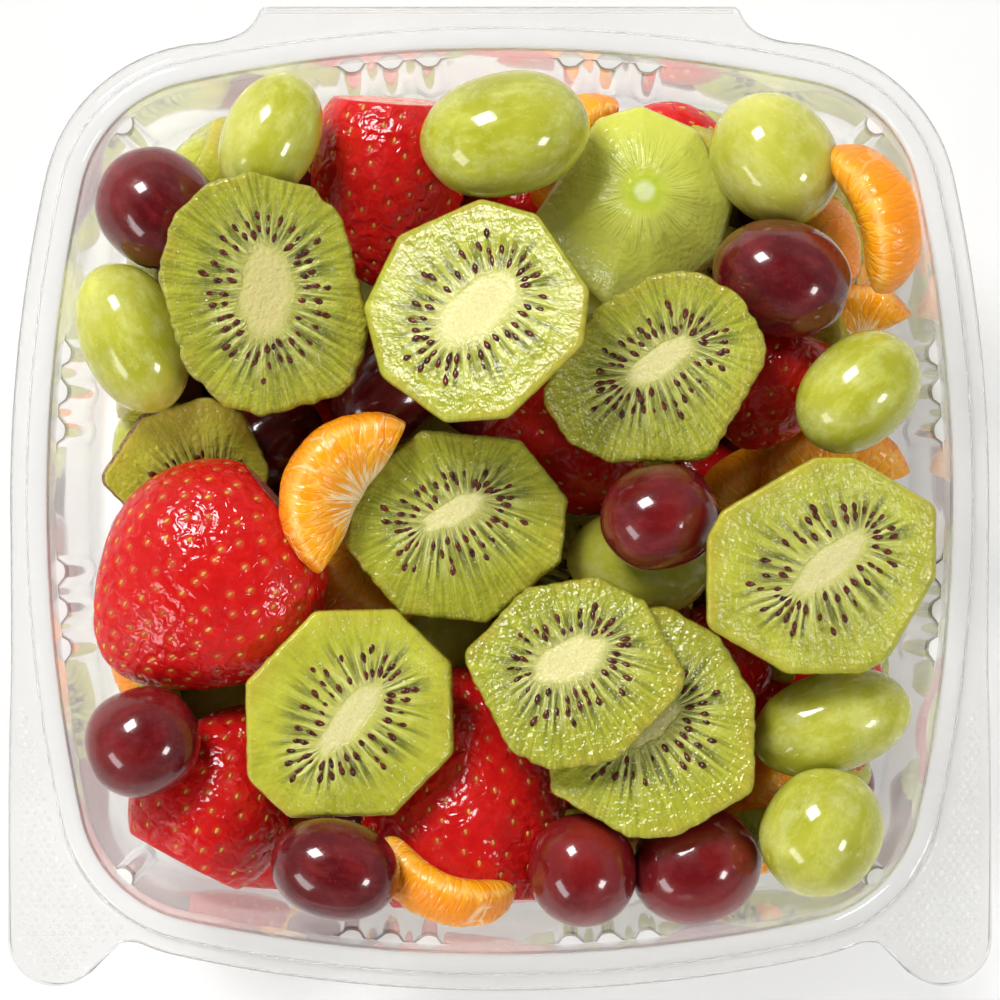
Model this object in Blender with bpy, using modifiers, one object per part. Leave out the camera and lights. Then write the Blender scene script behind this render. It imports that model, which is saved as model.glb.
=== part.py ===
"""Fruit salad in a clear square tub: a thermoformed shell, a heap of hidden fruit that fills it,
and each piece of fruit that lies on top as a solid of its own, let down until it rests."""

import math

import bmesh
import bpy
import numpy as np
from mathutils import Matrix, Vector
from mathutils.bvhtree import BVHTree

# Every size and place below is in millimetres. Meshes are made in metres.
MM = 0.001
GAP = 0.3  # left between pieces that touch

# The tub: a rounded square with bowed sides, seen from above.
HALF_WIDTH = 95.9  # over the thumb tabs
HALF_LENGTH = 95.9  # from the front of the flange to the edge of the hinge flap
TUB_Y = -0.5  # middle of the mouth, which the flap leaves a little off centre
MOUTH_HALF = 88.3  # middle of the mouth to the middle of a side
SIDE_RADIUS = 286.0
CORNER_RADIUS = 26.0
SIDE_STEPS = 5
CORNER_STEPS = 6
WALL = 0.6
RIM_TOP = 60.0
FLANGE_Z = 57.0
BAND_WIDTH = 4.5  # the raised band that a lid snaps over
FLANGE_WIDTH = 7.1  # mouth to the outer edge of the flange
WALL_TOP = (-0.5, FLANGE_Z)  # (outside the mouth line, height)
WALL_FOOT = (-7.0, 4.0)
FLAP_HALF = 46.6
FLARE_START = 57.0
FLARE_STEPS = 4
TAB_RADIUS = 9.4
TAB_END = 95.1
TAB_FILLET = 6.8
LUG_RADIUS = 2.45
LUG_DEPTH = 0.85  # of the radius
LUG_TOP = 51.0
LUG_FOOT = 6.0
LUG_PITCH = 7.5
LUG_CLUSTER = 21.2  # middle of a side to the middle of a group of three
CORNER_LUG_RADIUS = 2.2

# The heap that fills the tub under the fruit that shows.
HEAP_HALF = 77.0
HEAP_CORNER = 34.0
HEAP_TURNS = 36
HEAP_RINGS = 9
HEAP_LEVEL = 34.0  # where it lies open to the sky
HEAP_UNEVEN = 2.5
HEAP_GAP = 1.2
HEAP_LOOKS = 16  # directions in which the fruit above is felt for
HEAP_FOOT = 12.0  # below this the heap draws in with the wall

# Fruit.
FRUIT_Y = 0.3  # added to every place below
GRAPE_SIDES = 12
GRAPE_ROWS = 8
SLICE_EDGE = 0.7  # rounding where a knife cut meets the peeled side
BERRY_SIDES = 12
BERRY_ROWS = 9
SEGMENT_STATIONS = 7
SEGMENT_SECTION = (  # (from the inner edge to the back, half thickness), as shares
    (0.0, 0.0), (0.22, 0.5), (0.6, 0.95), (0.9, 0.75),
    (1.0, 0.0), (0.9, -0.75), (0.6, -0.95), (0.22, -0.5),
)
MOST_SLOPE = 0.24  # of a slice that lies on others
SLOPE_STEPS = 13
LEAN_SPOTS = (0.35, 0.65, 0.85, 0.97)  # shares of the way out at which a slice feels what is under it
LEAN_COST = 6.0  # how much lower the middle has to come for a steeper slope
SLICE_BED = 42.0  # no slice on top lies lower than this
ABOVE_ALL = 120.0

COLOURS = {
    "tub": (0.93, 0.94, 0.94, 1.0),
    "heap": (0.55, 0.42, 0.12, 1.0),
    "green grape": (0.52, 0.60, 0.12, 1.0),
    "red grape": (0.14, 0.012, 0.02, 1.0),
    "kiwi": (0.33, 0.45, 0.06, 1.0),
    "strawberry": (0.62, 0.02, 0.015, 1.0),
    "mandarin": (0.95, 0.36, 0.03, 1.0),
}
GLOSS = {"tub": 0.05, "heap": 0.5}
WET = 0.3

# Kiwi slices are peeled with flat strokes of a knife. Each row is the middle (x, y), the
# thickness, the direction of the first flat in degrees and how far each flat lies from the middle.
SLICES = {
    "kiwi_chunk": (-63.5, 3.5, 12.0, 26, (17, 17, 14, 13, 15, 11, 9, 13, 17)),
    "kiwi_end": (26.7, 57.2, 7.5, 27, (17.5, 18.5, 18.5, 15.5, 20, 18, 19.5, 18, 18.5)),
    "kiwi_lower_under": (30.1, -44.3, 7.0, 0, (19.5, 19.5, 21, 22.5, 22, 19, 20, 23.5, 21.5, 22, 21, 23)),
    "kiwi_upper_left": (-46.4, 38.7, 7.0, 15, (19, 22, 23, 24, 23, 20.5, 18, 20, 22, 22, 24, 21.5)),
    "kiwi_upper_right": (29.8, 24.4, 7.0, 0, (21.5, 22, 21, 19, 16, 16.5, 21, 21, 19.5, 17.3, 19.5, 18)),
    "kiwi_right": (62.9, -12.8, 7.5, 0, (22, 24.2, 20.5, 20.3, 18.5, 22, 22.5, 25.2, 22, 21.5, 22.5, 20.5)),
    "kiwi_lower_left": (-29.3, -42.8, 8.0, 1, (20, 21, 20.5, 19, 20, 22.5, 19.5, 19.5)),
    "kiwi_lower_top": (14.7, -34.2, 7.0, 28, (18.5, 18.5, 17.5, 18, 21.5, 18, 19, 18, 17.5, 21)),
    "kiwi_upper_middle": (-4.4, 36.1, 7.0, 34, (20, 21, 19.5, 20, 21, 21, 21, 19, 21)),
    "kiwi_middle": (-8.1, -5.8, 8.0, 39, (20, 18, 19, 21.5, 19.5, 18, 18, 20.5)),
}
# Slices that don't lie on top: lowest point, and how they slope along x and y.
WEDGED = {"kiwi_chunk": (17.0, 0.05, 0.42), "kiwi_end": (31.0, 0.0, 0.0)}
DOME = 6.5  # how far the rounded end of a kiwi stands above its flats

# Grapes: the middle (x, y), half length, half width, direction in degrees, lowest point.
GRAPES = {
    "grape_red_corner": (-67.4, 56.7, 12.6, 11.4, -45, 28),
    "grape_green_upper_left": (-44.8, 70.4, 13.0, 9.5, 66, 30),
    "grape_green_top": (1.0, 71.0, 16.7, 12.2, 12, 31),
    "grape_green_left": (-72.1, 31.2, 15.5, 10.2, -67, 31),
    "grape_green_top_right": (54.1, 66.3, 13.8, 12.0, -50, 28),
    "grape_red_right": (55.2, 42.7, 13.9, 11.4, -14, 28),
    "grape_green_right": (70.1, 20.5, 13.6, 10.4, 42, 34),
    "grape_green_long": (65.2, -44.3, 16.1, 10.0, 17, 31),
    "grape_green_bottom_right": (63.0, -65.7, 13.0, 11.8, 60, 27),
    "grape_red_bottom_right": (38.7, -72.5, 13.0, 11.4, 15, 27),
    "grape_red_bottom_middle": (16.2, -73.1, 11.2, 10.6, 100, 28),
    "grape_red_bottom_left": (-32.1, -72.7, 12.8, 9.9, -12, 30),
    "grape_red_left": (-69.9, -48.0, 11.6, 10.8, 20, 30),
    "grape_red_middle": (31.3, -3.9, 11.8, 10.4, 12, 40),
    "grape_green_middle": (27.6, -12.9, 14.4, 10.2, -8, 26),
    "grape_green_peek": (-56.1, 63.0, 10.5, 9.5, 20, 24),
    "grape_red_hollow": (-46.0, 11.0, 11.5, 9.8, 20, 20),
    "grape_red_between": (-22.4, 20.0, 11.5, 9.8, 40, 22),
    "grape_green_under": (-11.6, -30.5, 12.5, 9.8, 60, 22),
}

# Strawberries: the middle (x, y), length, width, depth, direction of the tip in degrees, how far
# the tip dips in degrees, the share of the hulled end that is left, and the lowest point.
BERRIES = {
    "strawberry_bottom_left": (-54.5, -57.0, 34, 28, 25, 62, 0, 0.7, 19),
    "strawberry_bottom": (-7.0, -57.0, 47, 37, 27, 93, 4, 0.72, 15),
    "strawberry_top": (-22.3, 59.8, 37, 28, 25, -94, 6, 0.72, 19),
    "strawberry_left": (-59.5, -18.0, 46, 40, 27, -140, 4, 0.85, 25),
    "strawberry_top_right": (37.0, 67.0, 24, 18, 18, -20, 6, 0.8, 24),
    "strawberry_right": (52.0, 21.5, 25, 24, 19, -110, 6, 0.8, 20),
    "strawberry_middle": (14.7, 9.6, 32, 26, 22, -40, 10, 0.8, 20),
    "strawberry_low_right": (67.3, -39.5, 28, 18, 17, 80, 0, 0.8, 18),
}

# Mandarin segments: the middle (x, y), radius of the back, half angle of the crescent, height
# from the inner edge to the back, thickness, direction of the chord and roll in degrees, and
# the lowest point.
SEGMENTS = {
    "mandarin_top_right": (74.0, 55.5, 16.2, 82, 13, 11, -71, 60, 30),
    "mandarin_right_upper": (69.0, 36.0, 12, 85, 11, 10, 24, 0, 24),
    "mandarin_middle": (-33.4, 3.3, 17.0, 100, 15.5, 13, 60, 8, 38),
    "mandarin_left_low": (-66.5, 14.0, 15, 85, 12, 12, 140, 20, 22),
    "mandarin_under_left": (-70.5, -33.0, 14, 80, 11, 11, 100, 30, 18),
    "mandarin_centre_low": (-30.2, -15.8, 15, 85, 13, 13, 130, 35, 26),
    "mandarin_top_low": (12.8, 69.5, 14, 80, 11, 11, 60, 40, 22),
    "mandarin_right_low": (65.0, 8.0, 16, 85, 13, 10, 14, 20, 19),
    "mandarin_under_kiwi": (47.0, 0.5, 14, 85, 12, 12, 50, 30, 24),
    "mandarin_lower_right": (53.5, -60.0, 15, 85, 13, 13, 62, 35, 26),
    "mandarin_bottom_right": (45.5, -69.0, 14, 80, 11, 12, 40, 30, 22),
    "mandarin_bottom_low": (25.0, -66.0, 14, 80, 12, 12, 150, 30, 22),
    "mandarin_bottom": (-11.5, -76.0, 15, 80, 10.5, 11, 158, 55, 34),
    "mandarin_top_right_low": (63.6, 52.0, 14, 80, 12, 12, -65, 40, 22),
}

# Laid in from the lowest to the highest: each rises until it is clear of those before it.
LAID = (
    "strawberry_bottom", "mandarin_bottom", "strawberry_bottom_left", "strawberry_top",
    "mandarin_right_low", "mandarin_right_upper", "strawberry_right", "strawberry_middle",
    "kiwi_chunk", "kiwi_end", "strawberry_left", "grape_green_middle", "grape_red_middle",
    "grape_red_corner",
    "grape_green_upper_left", "grape_green_left", "grape_green_top_right", "grape_red_right",
    "mandarin_top_right", "grape_green_right", "grape_green_long", "grape_green_bottom_right",
    "grape_red_bottom_right", "grape_red_bottom_middle", "grape_red_bottom_left",
    "grape_red_left", "grape_green_top", "kiwi_lower_under",
    "kiwi_lower_left", "kiwi_lower_top", "kiwi_upper_left", "kiwi_upper_right",
    "kiwi_upper_middle", "kiwi_middle", "kiwi_right", "mandarin_middle",
)
# Tucked in under them: each sinks until it is clear.
TUCKED = (
    "strawberry_top_right", "strawberry_low_right", "grape_green_peek", "grape_red_hollow",
    "grape_red_between", "grape_green_under", "mandarin_centre_low", "mandarin_left_low",
    "mandarin_under_left", "mandarin_top_low", "mandarin_under_kiwi", "mandarin_lower_right",
    "mandarin_bottom_right", "mandarin_bottom_low", "mandarin_top_right_low",
)


def clear_scene():
    for thing in list(bpy.data.objects):
        bpy.data.objects.remove(thing, do_unlink=True)


def collection(name):
    made = bpy.data.collections.new(name)
    bpy.context.scene.collection.children.link(made)
    return made


def material(kind):
    made = bpy.data.materials.get(kind)
    if made:
        return made
    made = bpy.data.materials.new(kind)
    made.use_nodes = True
    made.diffuse_color = COLOURS[kind]
    shader = made.node_tree.nodes["Principled BSDF"]
    shader.inputs["Base Color"].default_value = COLOURS[kind]
    shader.inputs["Roughness"].default_value = GLOSS.get(kind, WET)
    return made


def face_out(bm):
    bmesh.ops.recalc_face_normals(bm, faces=bm.faces)
    if bm.calc_volume(signed=True) < 0:
        bmesh.ops.reverse_faces(bm, faces=bm.faces)


def add_object(name, bm, kind, where, smooth=True):
    """The bmesh, in millimetres, as an object of its own."""
    face_out(bm)
    bmesh.ops.scale(bm, vec=(MM, MM, MM), verts=bm.verts)
    mesh = bpy.data.meshes.new(name)
    bm.to_mesh(mesh)
    bm.free()
    if smooth:
        mesh.shade_smooth()
        mesh.set_sharp_from_angle(angle=math.radians(40))
    made = bpy.data.objects.new(name, mesh)
    made.data.materials.append(material(kind))
    where.objects.link(made)
    return made


# --- Tub ---------------------------------------------------------------------------------------

TURN = math.acos((SIDE_RADIUS - MOUTH_HALF) / (math.sqrt(2) * (SIDE_RADIUS - CORNER_RADIUS)))
SIDE_ANGLE = TURN - math.pi / 4  # half of the arc that one side takes
CORNER_AT = (SIDE_RADIUS - CORNER_RADIUS) * math.sin(SIDE_ANGLE)
SIDE_AT = MOUTH_HALF - SIDE_RADIUS


def arc(centre, radius, start, end, steps):
    """Points along an arc, both ends included."""
    angles = [start + (end - start) * i / steps for i in range(steps + 1)]
    return [(centre[0] + radius * math.cos(a), centre[1] + radius * math.sin(a)) for a in angles]


def turned(points, quarter):
    c, s = ((1, 0), (0, 1), (-1, 0), (0, -1))[quarter]
    return [(x * c - y * s, x * s + y * c) for x, y in points]


def mouth_ring(offset):
    """The outline of the tub, so far outside the line of its mouth."""
    side = arc((SIDE_AT, 0), SIDE_RADIUS + offset, -SIDE_ANGLE, SIDE_ANGLE, SIDE_STEPS)
    corner = arc((CORNER_AT, CORNER_AT), CORNER_RADIUS + offset, SIDE_ANGLE,
                 math.pi / 2 - SIDE_ANGLE, CORNER_STEPS)
    quarter = side[:-1] + corner[:-1]
    return [(x, y + TUB_Y) for q in range(4) for x, y in turned(quarter, q)]


def touching_circle(a, reach_a, b, reach_b):
    """The lower of the two points at these distances from a and b."""
    ax, ay = a
    dx, dy = b[0] - ax, b[1] - ay
    apart = math.hypot(dx, dy)
    along = (reach_a ** 2 - reach_b ** 2 + apart ** 2) / (2 * apart)
    across = math.sqrt(reach_a ** 2 - along ** 2)
    ends = [(ax + (along * dx + side * across * dy) / apart,
             ay + (along * dy - side * across * dx) / apart) for side in (1, -1)]
    return min(ends, key=lambda p: p[1])


def flange_edge():
    """The outer edge of the flange, with its two thumb tabs and the hinge flap."""
    corner = (CORNER_AT, TUB_Y - CORNER_AT)
    reach = CORNER_RADIUS + FLANGE_WIDTH
    lobe = (HALF_WIDTH - TAB_RADIUS, TAB_RADIUS - TAB_END)
    hollow = touching_circle(corner, reach + TAB_FILLET, lobe, TAB_RADIUS + TAB_FILLET)
    to_hollow = math.atan2(hollow[1] - corner[1], hollow[0] - corner[0])
    from_corner = to_hollow + math.pi
    from_lobe = math.atan2(lobe[1] - hollow[1], lobe[0] - hollow[0])
    side = SIDE_RADIUS + FLANGE_WIDTH
    right = arc((0, TUB_Y - SIDE_AT), side, -math.pi / 2, -math.pi / 2 + SIDE_ANGLE, 3)
    right += arc(corner, reach, -math.pi / 2 + SIDE_ANGLE, to_hollow, 2)[1:]
    right += arc(hollow, TAB_FILLET, from_corner, from_lobe, 4)[1:]
    right += arc(lobe, TAB_RADIUS, from_lobe - math.pi, 0, 8)[1:]
    right += [(HALF_WIDTH, -59.0), (HALF_WIDTH - 0.6, -34.0)]
    right += arc((SIDE_AT, TUB_Y), side, math.radians(-1.5), SIDE_ANGLE, 4)
    far = (CORNER_AT, TUB_Y + CORNER_AT)
    flare_angle = math.acos((FLARE_START - CORNER_AT) / reach)
    right += arc(far, reach, SIDE_ANGLE, flare_angle, 5)[1:]
    start = Vector(right[-1])
    bend = Vector((FLAP_HALF + 1.5, start.y + 1.0))
    end = Vector((FLAP_HALF, HALF_LENGTH))
    for i in range(1, FLARE_STEPS + 1):
        t = i / FLARE_STEPS
        right.append(tuple(start * (1 - t) ** 2 + bend * 2 * t * (1 - t) + end * t ** 2))
    return right + [(-x, y) for x, y in reversed(right[1:])]


def ring_edges(bm, points, z):
    verts = [bm.verts.new((x, y, z)) for x, y in points]
    return verts, [bm.edges.new((verts[i - 1], verts[i])) for i in range(len(verts))]


def lug(bm, foot, top, inwards, radius):
    """A half-round rib down the wall, flat on top, from foot to top."""
    across = inwards.cross(Vector((0, 0, 1)))
    rings = []
    for end in (foot, top):
        angles = [math.pi * i / 5 for i in range(6)]
        ring = [end + across * (radius * math.cos(a)) + inwards * (radius * math.sin(a) * LUG_DEPTH)
                for a in angles]
        ring += [end - across * radius - inwards * 0.3, end + across * radius - inwards * 0.3]
        rings.append([bm.verts.new(p) for p in ring])
    low, high = rings
    for i in range(len(low)):
        bm.faces.new((low[i - 1], low[i], high[i], high[i - 1]))
    bm.faces.new(low)
    bm.faces.new(high)


def wall_offset(z):
    share = (z - WALL_FOOT[1]) / (WALL_TOP[1] - WALL_FOOT[1])
    return WALL_FOOT[0] + (WALL_TOP[0] - WALL_FOOT[0]) * share


def lug_mesh():
    """Three and three stacking lugs down each side, and one in each corner."""
    bm = bmesh.new()
    places = [side * LUG_CLUSTER + i * LUG_PITCH for side in (-1, 1) for i in (-1, 0, 1)]
    for quarter in range(4):
        for along in places:
            angle = math.asin(along / SIDE_RADIUS)
            ends = []
            for z in (LUG_FOOT, LUG_TOP):
                reach = SIDE_RADIUS + wall_offset(z)
                ends.append((SIDE_AT + reach * math.cos(angle), along, z))
            add_lug(bm, ends, Vector((-1, 0, 0)), quarter, LUG_RADIUS)
        reach = [CORNER_AT + (CORNER_RADIUS + wall_offset(z)) / math.sqrt(2)
                 for z in (LUG_FOOT, LUG_TOP)]
        ends = [(reach[0], reach[0], LUG_FOOT), (reach[1], reach[1], LUG_TOP)]
        add_lug(bm, ends, Vector((-1, -1, 0)).normalized(), quarter, CORNER_LUG_RADIUS)
    return bm


def add_lug(bm, ends, inwards, quarter, radius):
    turn = Matrix.Rotation(quarter * math.pi / 2, 3, "Z")
    shift = Vector((0, TUB_Y, 0))
    foot, top = (turn @ Vector(end) + shift for end in ends)
    lug(bm, foot, top, turn @ inwards, radius)


def make_tub(parts, cutters):
    bm = bmesh.new()
    profile = (
        (WALL_FOOT[0] - 4.0, WALL), (WALL_FOOT[0] - 1.2, 1.5), WALL_FOOT, WALL_TOP,
        (0.0, RIM_TOP - 1.0), (1.2, RIM_TOP), (BAND_WIDTH - 1.1, RIM_TOP),
        (BAND_WIDTH, FLANGE_Z),
    )
    rings = []
    for offset, z in profile:
        verts, edges = ring_edges(bm, mouth_ring(offset), z)
        rings.append(verts)
    for low, high in zip(rings, rings[1:]):
        for i in range(len(low)):
            bm.faces.new((low[i - 1], low[i], high[i], high[i - 1]))
    bm.faces.new(rings[0])
    _, outer = ring_edges(bm, flange_edge(), FLANGE_Z)
    bmesh.ops.triangle_fill(bm, use_beauty=True, edges=edges + outer, normal=(0, 0, 1))
    bmesh.ops.recalc_face_normals(bm, faces=bm.faces)
    if next(f for f in bm.faces if len(f.verts) == len(rings[0])).normal.z < 0:
        bmesh.ops.reverse_faces(bm, faces=bm.faces)
    bmesh.ops.scale(bm, vec=(MM, MM, MM), verts=bm.verts)
    mesh = bpy.data.meshes.new("tub")
    bm.to_mesh(mesh)
    bm.free()
    mesh.shade_smooth()
    mesh.set_sharp_from_angle(angle=math.radians(40))
    tub = bpy.data.objects.new("tub", mesh)
    tub.data.materials.append(material("tub"))
    parts.objects.link(tub)
    shell = tub.modifiers.new("shell", "SOLIDIFY")
    shell.thickness = WALL * MM
    shell.offset = -1.0
    shell.use_even_offset = True
    lugs = add_object("tub_lugs", lug_mesh(), "tub", cutters, smooth=False)
    lugs.hide_render = True
    lugs.display_type = "WIRE"
    join = tub.modifiers.new("lugs", "BOOLEAN")
    join.operation = "UNION"
    join.object = lugs
    return tub


# --- Fruit -------------------------------------------------------------------------------------

def slice_outline(start, flats):
    """Corners of the polygon that these flats cut, at even turns from the first."""
    corners = []
    count = len(flats)
    for i in range(count):
        a, b = (math.radians(start + 360 / count * k) for k in (i, i + 1))
        p, q = flats[i], flats[(i + 1) % count]
        across = math.sin(b - a)
        corners.append(((p * math.sin(b) - q * math.sin(a)) / across,
                        (q * math.cos(a) - p * math.cos(b)) / across))
    return corners


def slice_bmesh(start, flats, thickness, dome=0.0):
    """A slice with its lower face at z = 0; dome raises the upper one to a round end."""
    outline = slice_outline(start, flats)
    inset = 1 - SLICE_EDGE / (sum(flats) / len(flats))
    levels = [(inset, 0.0), (1.0, SLICE_EDGE), (1.0, thickness - SLICE_EDGE), (inset, thickness)]
    if dome:
        levels[3:] = [(share, thickness + dome * (1 - share ** 2.2)) for share in (0.93, 0.7, 0.35)]
    bm = bmesh.new()
    rings = [[bm.verts.new((x * s, y * s, z)) for x, y in outline] for s, z in levels]
    for low, high in zip(rings, rings[1:]):
        for i in range(len(low)):
            bm.faces.new((low[i - 1], low[i], high[i], high[i - 1]))
    bm.faces.new(rings[0])
    bm.faces.new(rings[-1])
    return bm


def grape_bmesh(half_length, half_width):
    bm = bmesh.new()
    bmesh.ops.create_uvsphere(bm, u_segments=GRAPE_SIDES, v_segments=GRAPE_ROWS, radius=1.0)
    for vert in bm.verts:
        x, y, z = vert.co
        blunt = 1 + 0.12 * (1 - z * z) * z * z  # a grape's shoulders are fuller than an ellipsoid's
        vert.co = (z * half_length, x * half_width * blunt, y * half_width * blunt)
    return bm


def berry_bmesh(length, width, depth, left):
    """A berry along X with its tip at +X and its hulled end cut flat."""
    bm = bmesh.new()
    bmesh.ops.create_uvsphere(bm, u_segments=BERRY_SIDES, v_segments=BERRY_ROWS, radius=1.0)
    middle = (1 - left) / 2
    for vert in bm.verts:
        x, y, z = vert.co
        full = 1 - 0.22 * z + 0.1 * (1 - z * z)
        along = max(z, -left) - middle
        vert.co = (along * length / (1 + left), x * width / 2 * full, y * depth / 2 * full)
    return bm


def segment_bmesh(radius, half_angle, height, thickness):
    """A mandarin segment lying on its side: the chord along X, the back towards +Y."""
    bm = bmesh.new()
    half = math.radians(half_angle)
    rings = []
    for i in range(1, SEGMENT_STATIONS + 1):
        share = 2 * i / (SEGMENT_STATIONS + 1) - 1
        angle = half * share
        full = math.cos(share * math.pi / 2) ** 0.55
        outer = radius * (0.93 + 0.07 * full)
        inner = outer - height * full
        ring = []
        for u, h in SEGMENT_SECTION:
            reach = inner + u * (outer - inner)
            ring.append(bm.verts.new((reach * math.sin(angle), reach * math.cos(angle),
                                      h * thickness / 2 * full)))
        rings.append(ring)
    for low, high in zip(rings, rings[1:]):
        for i in range(len(low)):
            bm.faces.new((low[i - 1], low[i], high[i], high[i - 1]))
    for ring, side in ((rings[0], -1), (rings[-1], 1)):
        angle = side * half
        tip = bm.verts.new((0.9 * radius * math.sin(angle), 0.9 * radius * math.cos(angle), 0))
        for i in range(len(ring)):
            bm.faces.new((ring[i - 1], ring[i], tip))
    low = min(v.co.y for v in bm.verts)
    high = max(v.co.y for v in bm.verts)
    bmesh.ops.translate(bm, vec=(0, -(low + high) / 2, 0), verts=bm.verts)
    return bm


# --- Letting the pieces down -------------------------------------------------------------------

def world_tree(made):
    """The piece's surface in millimetres, for casting rays at it, with its points."""
    graph = bpy.context.evaluated_depsgraph_get()
    shape = made.evaluated_get(graph).to_mesh()
    place = Matrix.Scale(1 / MM, 4) @ made.matrix_world
    points = [place @ v.co for v in shape.vertices]
    faces = [tuple(f.vertices) for f in shape.polygons]
    samples = points + [place @ f.center for f in shape.polygons]
    made.evaluated_get(graph).to_mesh_clear()
    return BVHTree.FromPolygons(points, faces), samples


def top_at(trees, x, y):
    """Height of what lies under this place, or None."""
    found = [tree.ray_cast(Vector((x, y, 200)), Vector((0, 0, -1)))[0] for tree in trees]
    return max((hit.z for hit in found if hit), default=None)


def under_at(trees, x, y):
    found = [tree.ray_cast(Vector((x, y, 1)), Vector((0, 0, 1)))[0] for tree in trees]
    return min((hit.z for hit in found if hit), default=None)


def clear_of(made, others):
    bpy.context.view_layer.update()
    tree, _ = world_tree(made)
    return not any(tree.overlap(other) for other in others)


def shift_clear(made, others, lowest, way):
    """From its lowest point, the piece goes up (way 1) or down (way -1) until nothing touches."""
    bpy.context.view_layer.update()
    _, samples = world_tree(made)
    made.location.z += (lowest - min(p.z for p in samples)) * MM
    while not clear_of(made, others):
        made.location.z += way * GAP * MM
    made.location.z += way * GAP * MM
    bpy.context.view_layer.update()


def along_edges(made):
    """Points along the lower edge of the widest outline, where a slice meets its neighbours."""
    place = Matrix.Scale(1 / MM, 4) @ made.matrix_world
    points = []
    for edge in made.data.edges:
        a, b = (place @ made.data.vertices[v].co for v in edge.vertices)
        points += [a.lerp(b, t) for t in (0.25, 0.5, 0.75)]
    return points


def let_down(made, placed):
    """Lowers a slice until it rests on what is placed, or on the heap."""
    bpy.context.view_layer.update()
    _, samples = world_tree(made)
    drop = min(p.z for p in samples) - SLICE_BED
    samples += along_edges(made)
    for p in samples:
        top = top_at(placed, p.x, p.y)
        if top is not None:
            drop = min(drop, p.z - top - GAP)
    made.location.z -= drop * MM
    while not clear_of(made, placed):
        made.location.z += GAP * MM
    made.location.z += GAP * MM
    bpy.context.view_layer.update()


def lean(placed, outline, at):
    """The slope at which the middle of a slice lies lowest on what is under it."""
    rounds = [(a[0] + (b[0] - a[0]) * t, a[1] + (b[1] - a[1]) * t)
              for a, b in zip(outline, outline[1:] + outline[:1]) for t in (0, 0.25, 0.5, 0.75)]
    spots = [(x * s, y * s) for x, y in rounds for s in LEAN_SPOTS] + [(0.0, 0.0)]
    tops = [(x, y, top_at(placed, at[0] + x, at[1] + y)) for x, y in spots]
    tops = [(x, y, SLICE_BED if z is None else max(z, SLICE_BED)) for x, y, z in tops]
    best = None
    for along_x in np.linspace(-MOST_SLOPE, MOST_SLOPE, SLOPE_STEPS):
        for along_y in np.linspace(-MOST_SLOPE, MOST_SLOPE, SLOPE_STEPS):
            middle = max(z - along_x * x - along_y * y for x, y, z in tops)
            cost = middle + LEAN_COST * math.hypot(along_x, along_y)
            if best is None or cost < best[0]:
                best = (cost, along_x, along_y)
    return best[1:]


def slope_by(made, along_x, along_y):
    """A shear, so that the slice keeps its plan."""
    for vert in made.data.vertices:
        vert.co.z += along_x * vert.co.x + along_y * vert.co.y
    made.data.update()


def make_slice(name, parts, placed):
    x, y, thickness, start, flats = SLICES[name]
    y += FRUIT_Y
    shape = slice_bmesh(start, flats, thickness, DOME if name == "kiwi_end" else 0.0)
    made = add_object(name, shape, "kiwi", parts)
    made.location = (x * MM, y * MM, ABOVE_ALL * MM)
    if name in WEDGED:
        lowest, along_x, along_y = WEDGED[name]
        slope_by(made, along_x, along_y)
        shift_clear(made, placed, lowest, 1)
    else:
        slope_by(made, *lean(placed, slice_outline(start, flats), (x, y)))
        let_down(made, placed)
    return made


def make_piece(name, parts, placed, way):
    if name in GRAPES:
        x, y, length, width, turn, lowest = GRAPES[name]
        kind = "green grape" if "green" in name else "red grape"
        made = add_object(name, grape_bmesh(length, width), kind, parts)
        made.rotation_euler = (0, 0, math.radians(turn))
    elif name in BERRIES:
        x, y, length, width, depth, turn, dip, left, lowest = BERRIES[name]
        made = add_object(name, berry_bmesh(length, width, depth, left), "strawberry", parts)
        made.rotation_euler = (0, math.radians(dip), math.radians(turn))
    elif name in SEGMENTS:
        x, y, radius, half_angle, height, thickness, turn, roll, lowest = SEGMENTS[name]
        shape = segment_bmesh(radius, half_angle, height, thickness)
        made = add_object(name, shape, "mandarin", parts)
        made.rotation_euler = (math.radians(roll), 0, math.radians(turn))
    else:
        return make_slice(name, parts, placed)
    made.location = (x * MM, (y + FRUIT_Y) * MM, 0)
    shift_clear(made, placed, lowest, way)
    return made


# --- Heap --------------------------------------------------------------------------------------

def heap_radius(angle):
    """Distance from the middle to the side of a rounded square, in this direction."""
    c, s = abs(math.cos(angle)), abs(math.sin(angle))
    flat = HEAP_HALF / max(c, s)
    at = HEAP_HALF - HEAP_CORNER
    if min(c, s) * flat <= at:
        return flat
    along = at * (c + s)
    return along + math.sqrt(along ** 2 - 2 * at ** 2 + HEAP_CORNER ** 2)


def heap_top(trees, x, y, reach):
    """As high as the fruit above allows within reach of this place, or level where it is open."""
    unders = []
    for share in (0.0, 0.2, 0.4, 0.6, 0.8, 1.0):
        for i in range(HEAP_LOOKS):
            a = 2 * math.pi * i / HEAP_LOOKS
            spot = x + share * reach * math.cos(a), y + share * reach * math.sin(a)
            unders.append(under_at(trees, *spot))
    lowest = min((under for under in unders if under is not None), default=ABOVE_ALL)
    if None in unders:
        level = HEAP_LEVEL + HEAP_UNEVEN * math.sin(x / 9) * math.cos(y / 11)
        lowest = min(lowest, level)
    return lowest - HEAP_GAP


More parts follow.
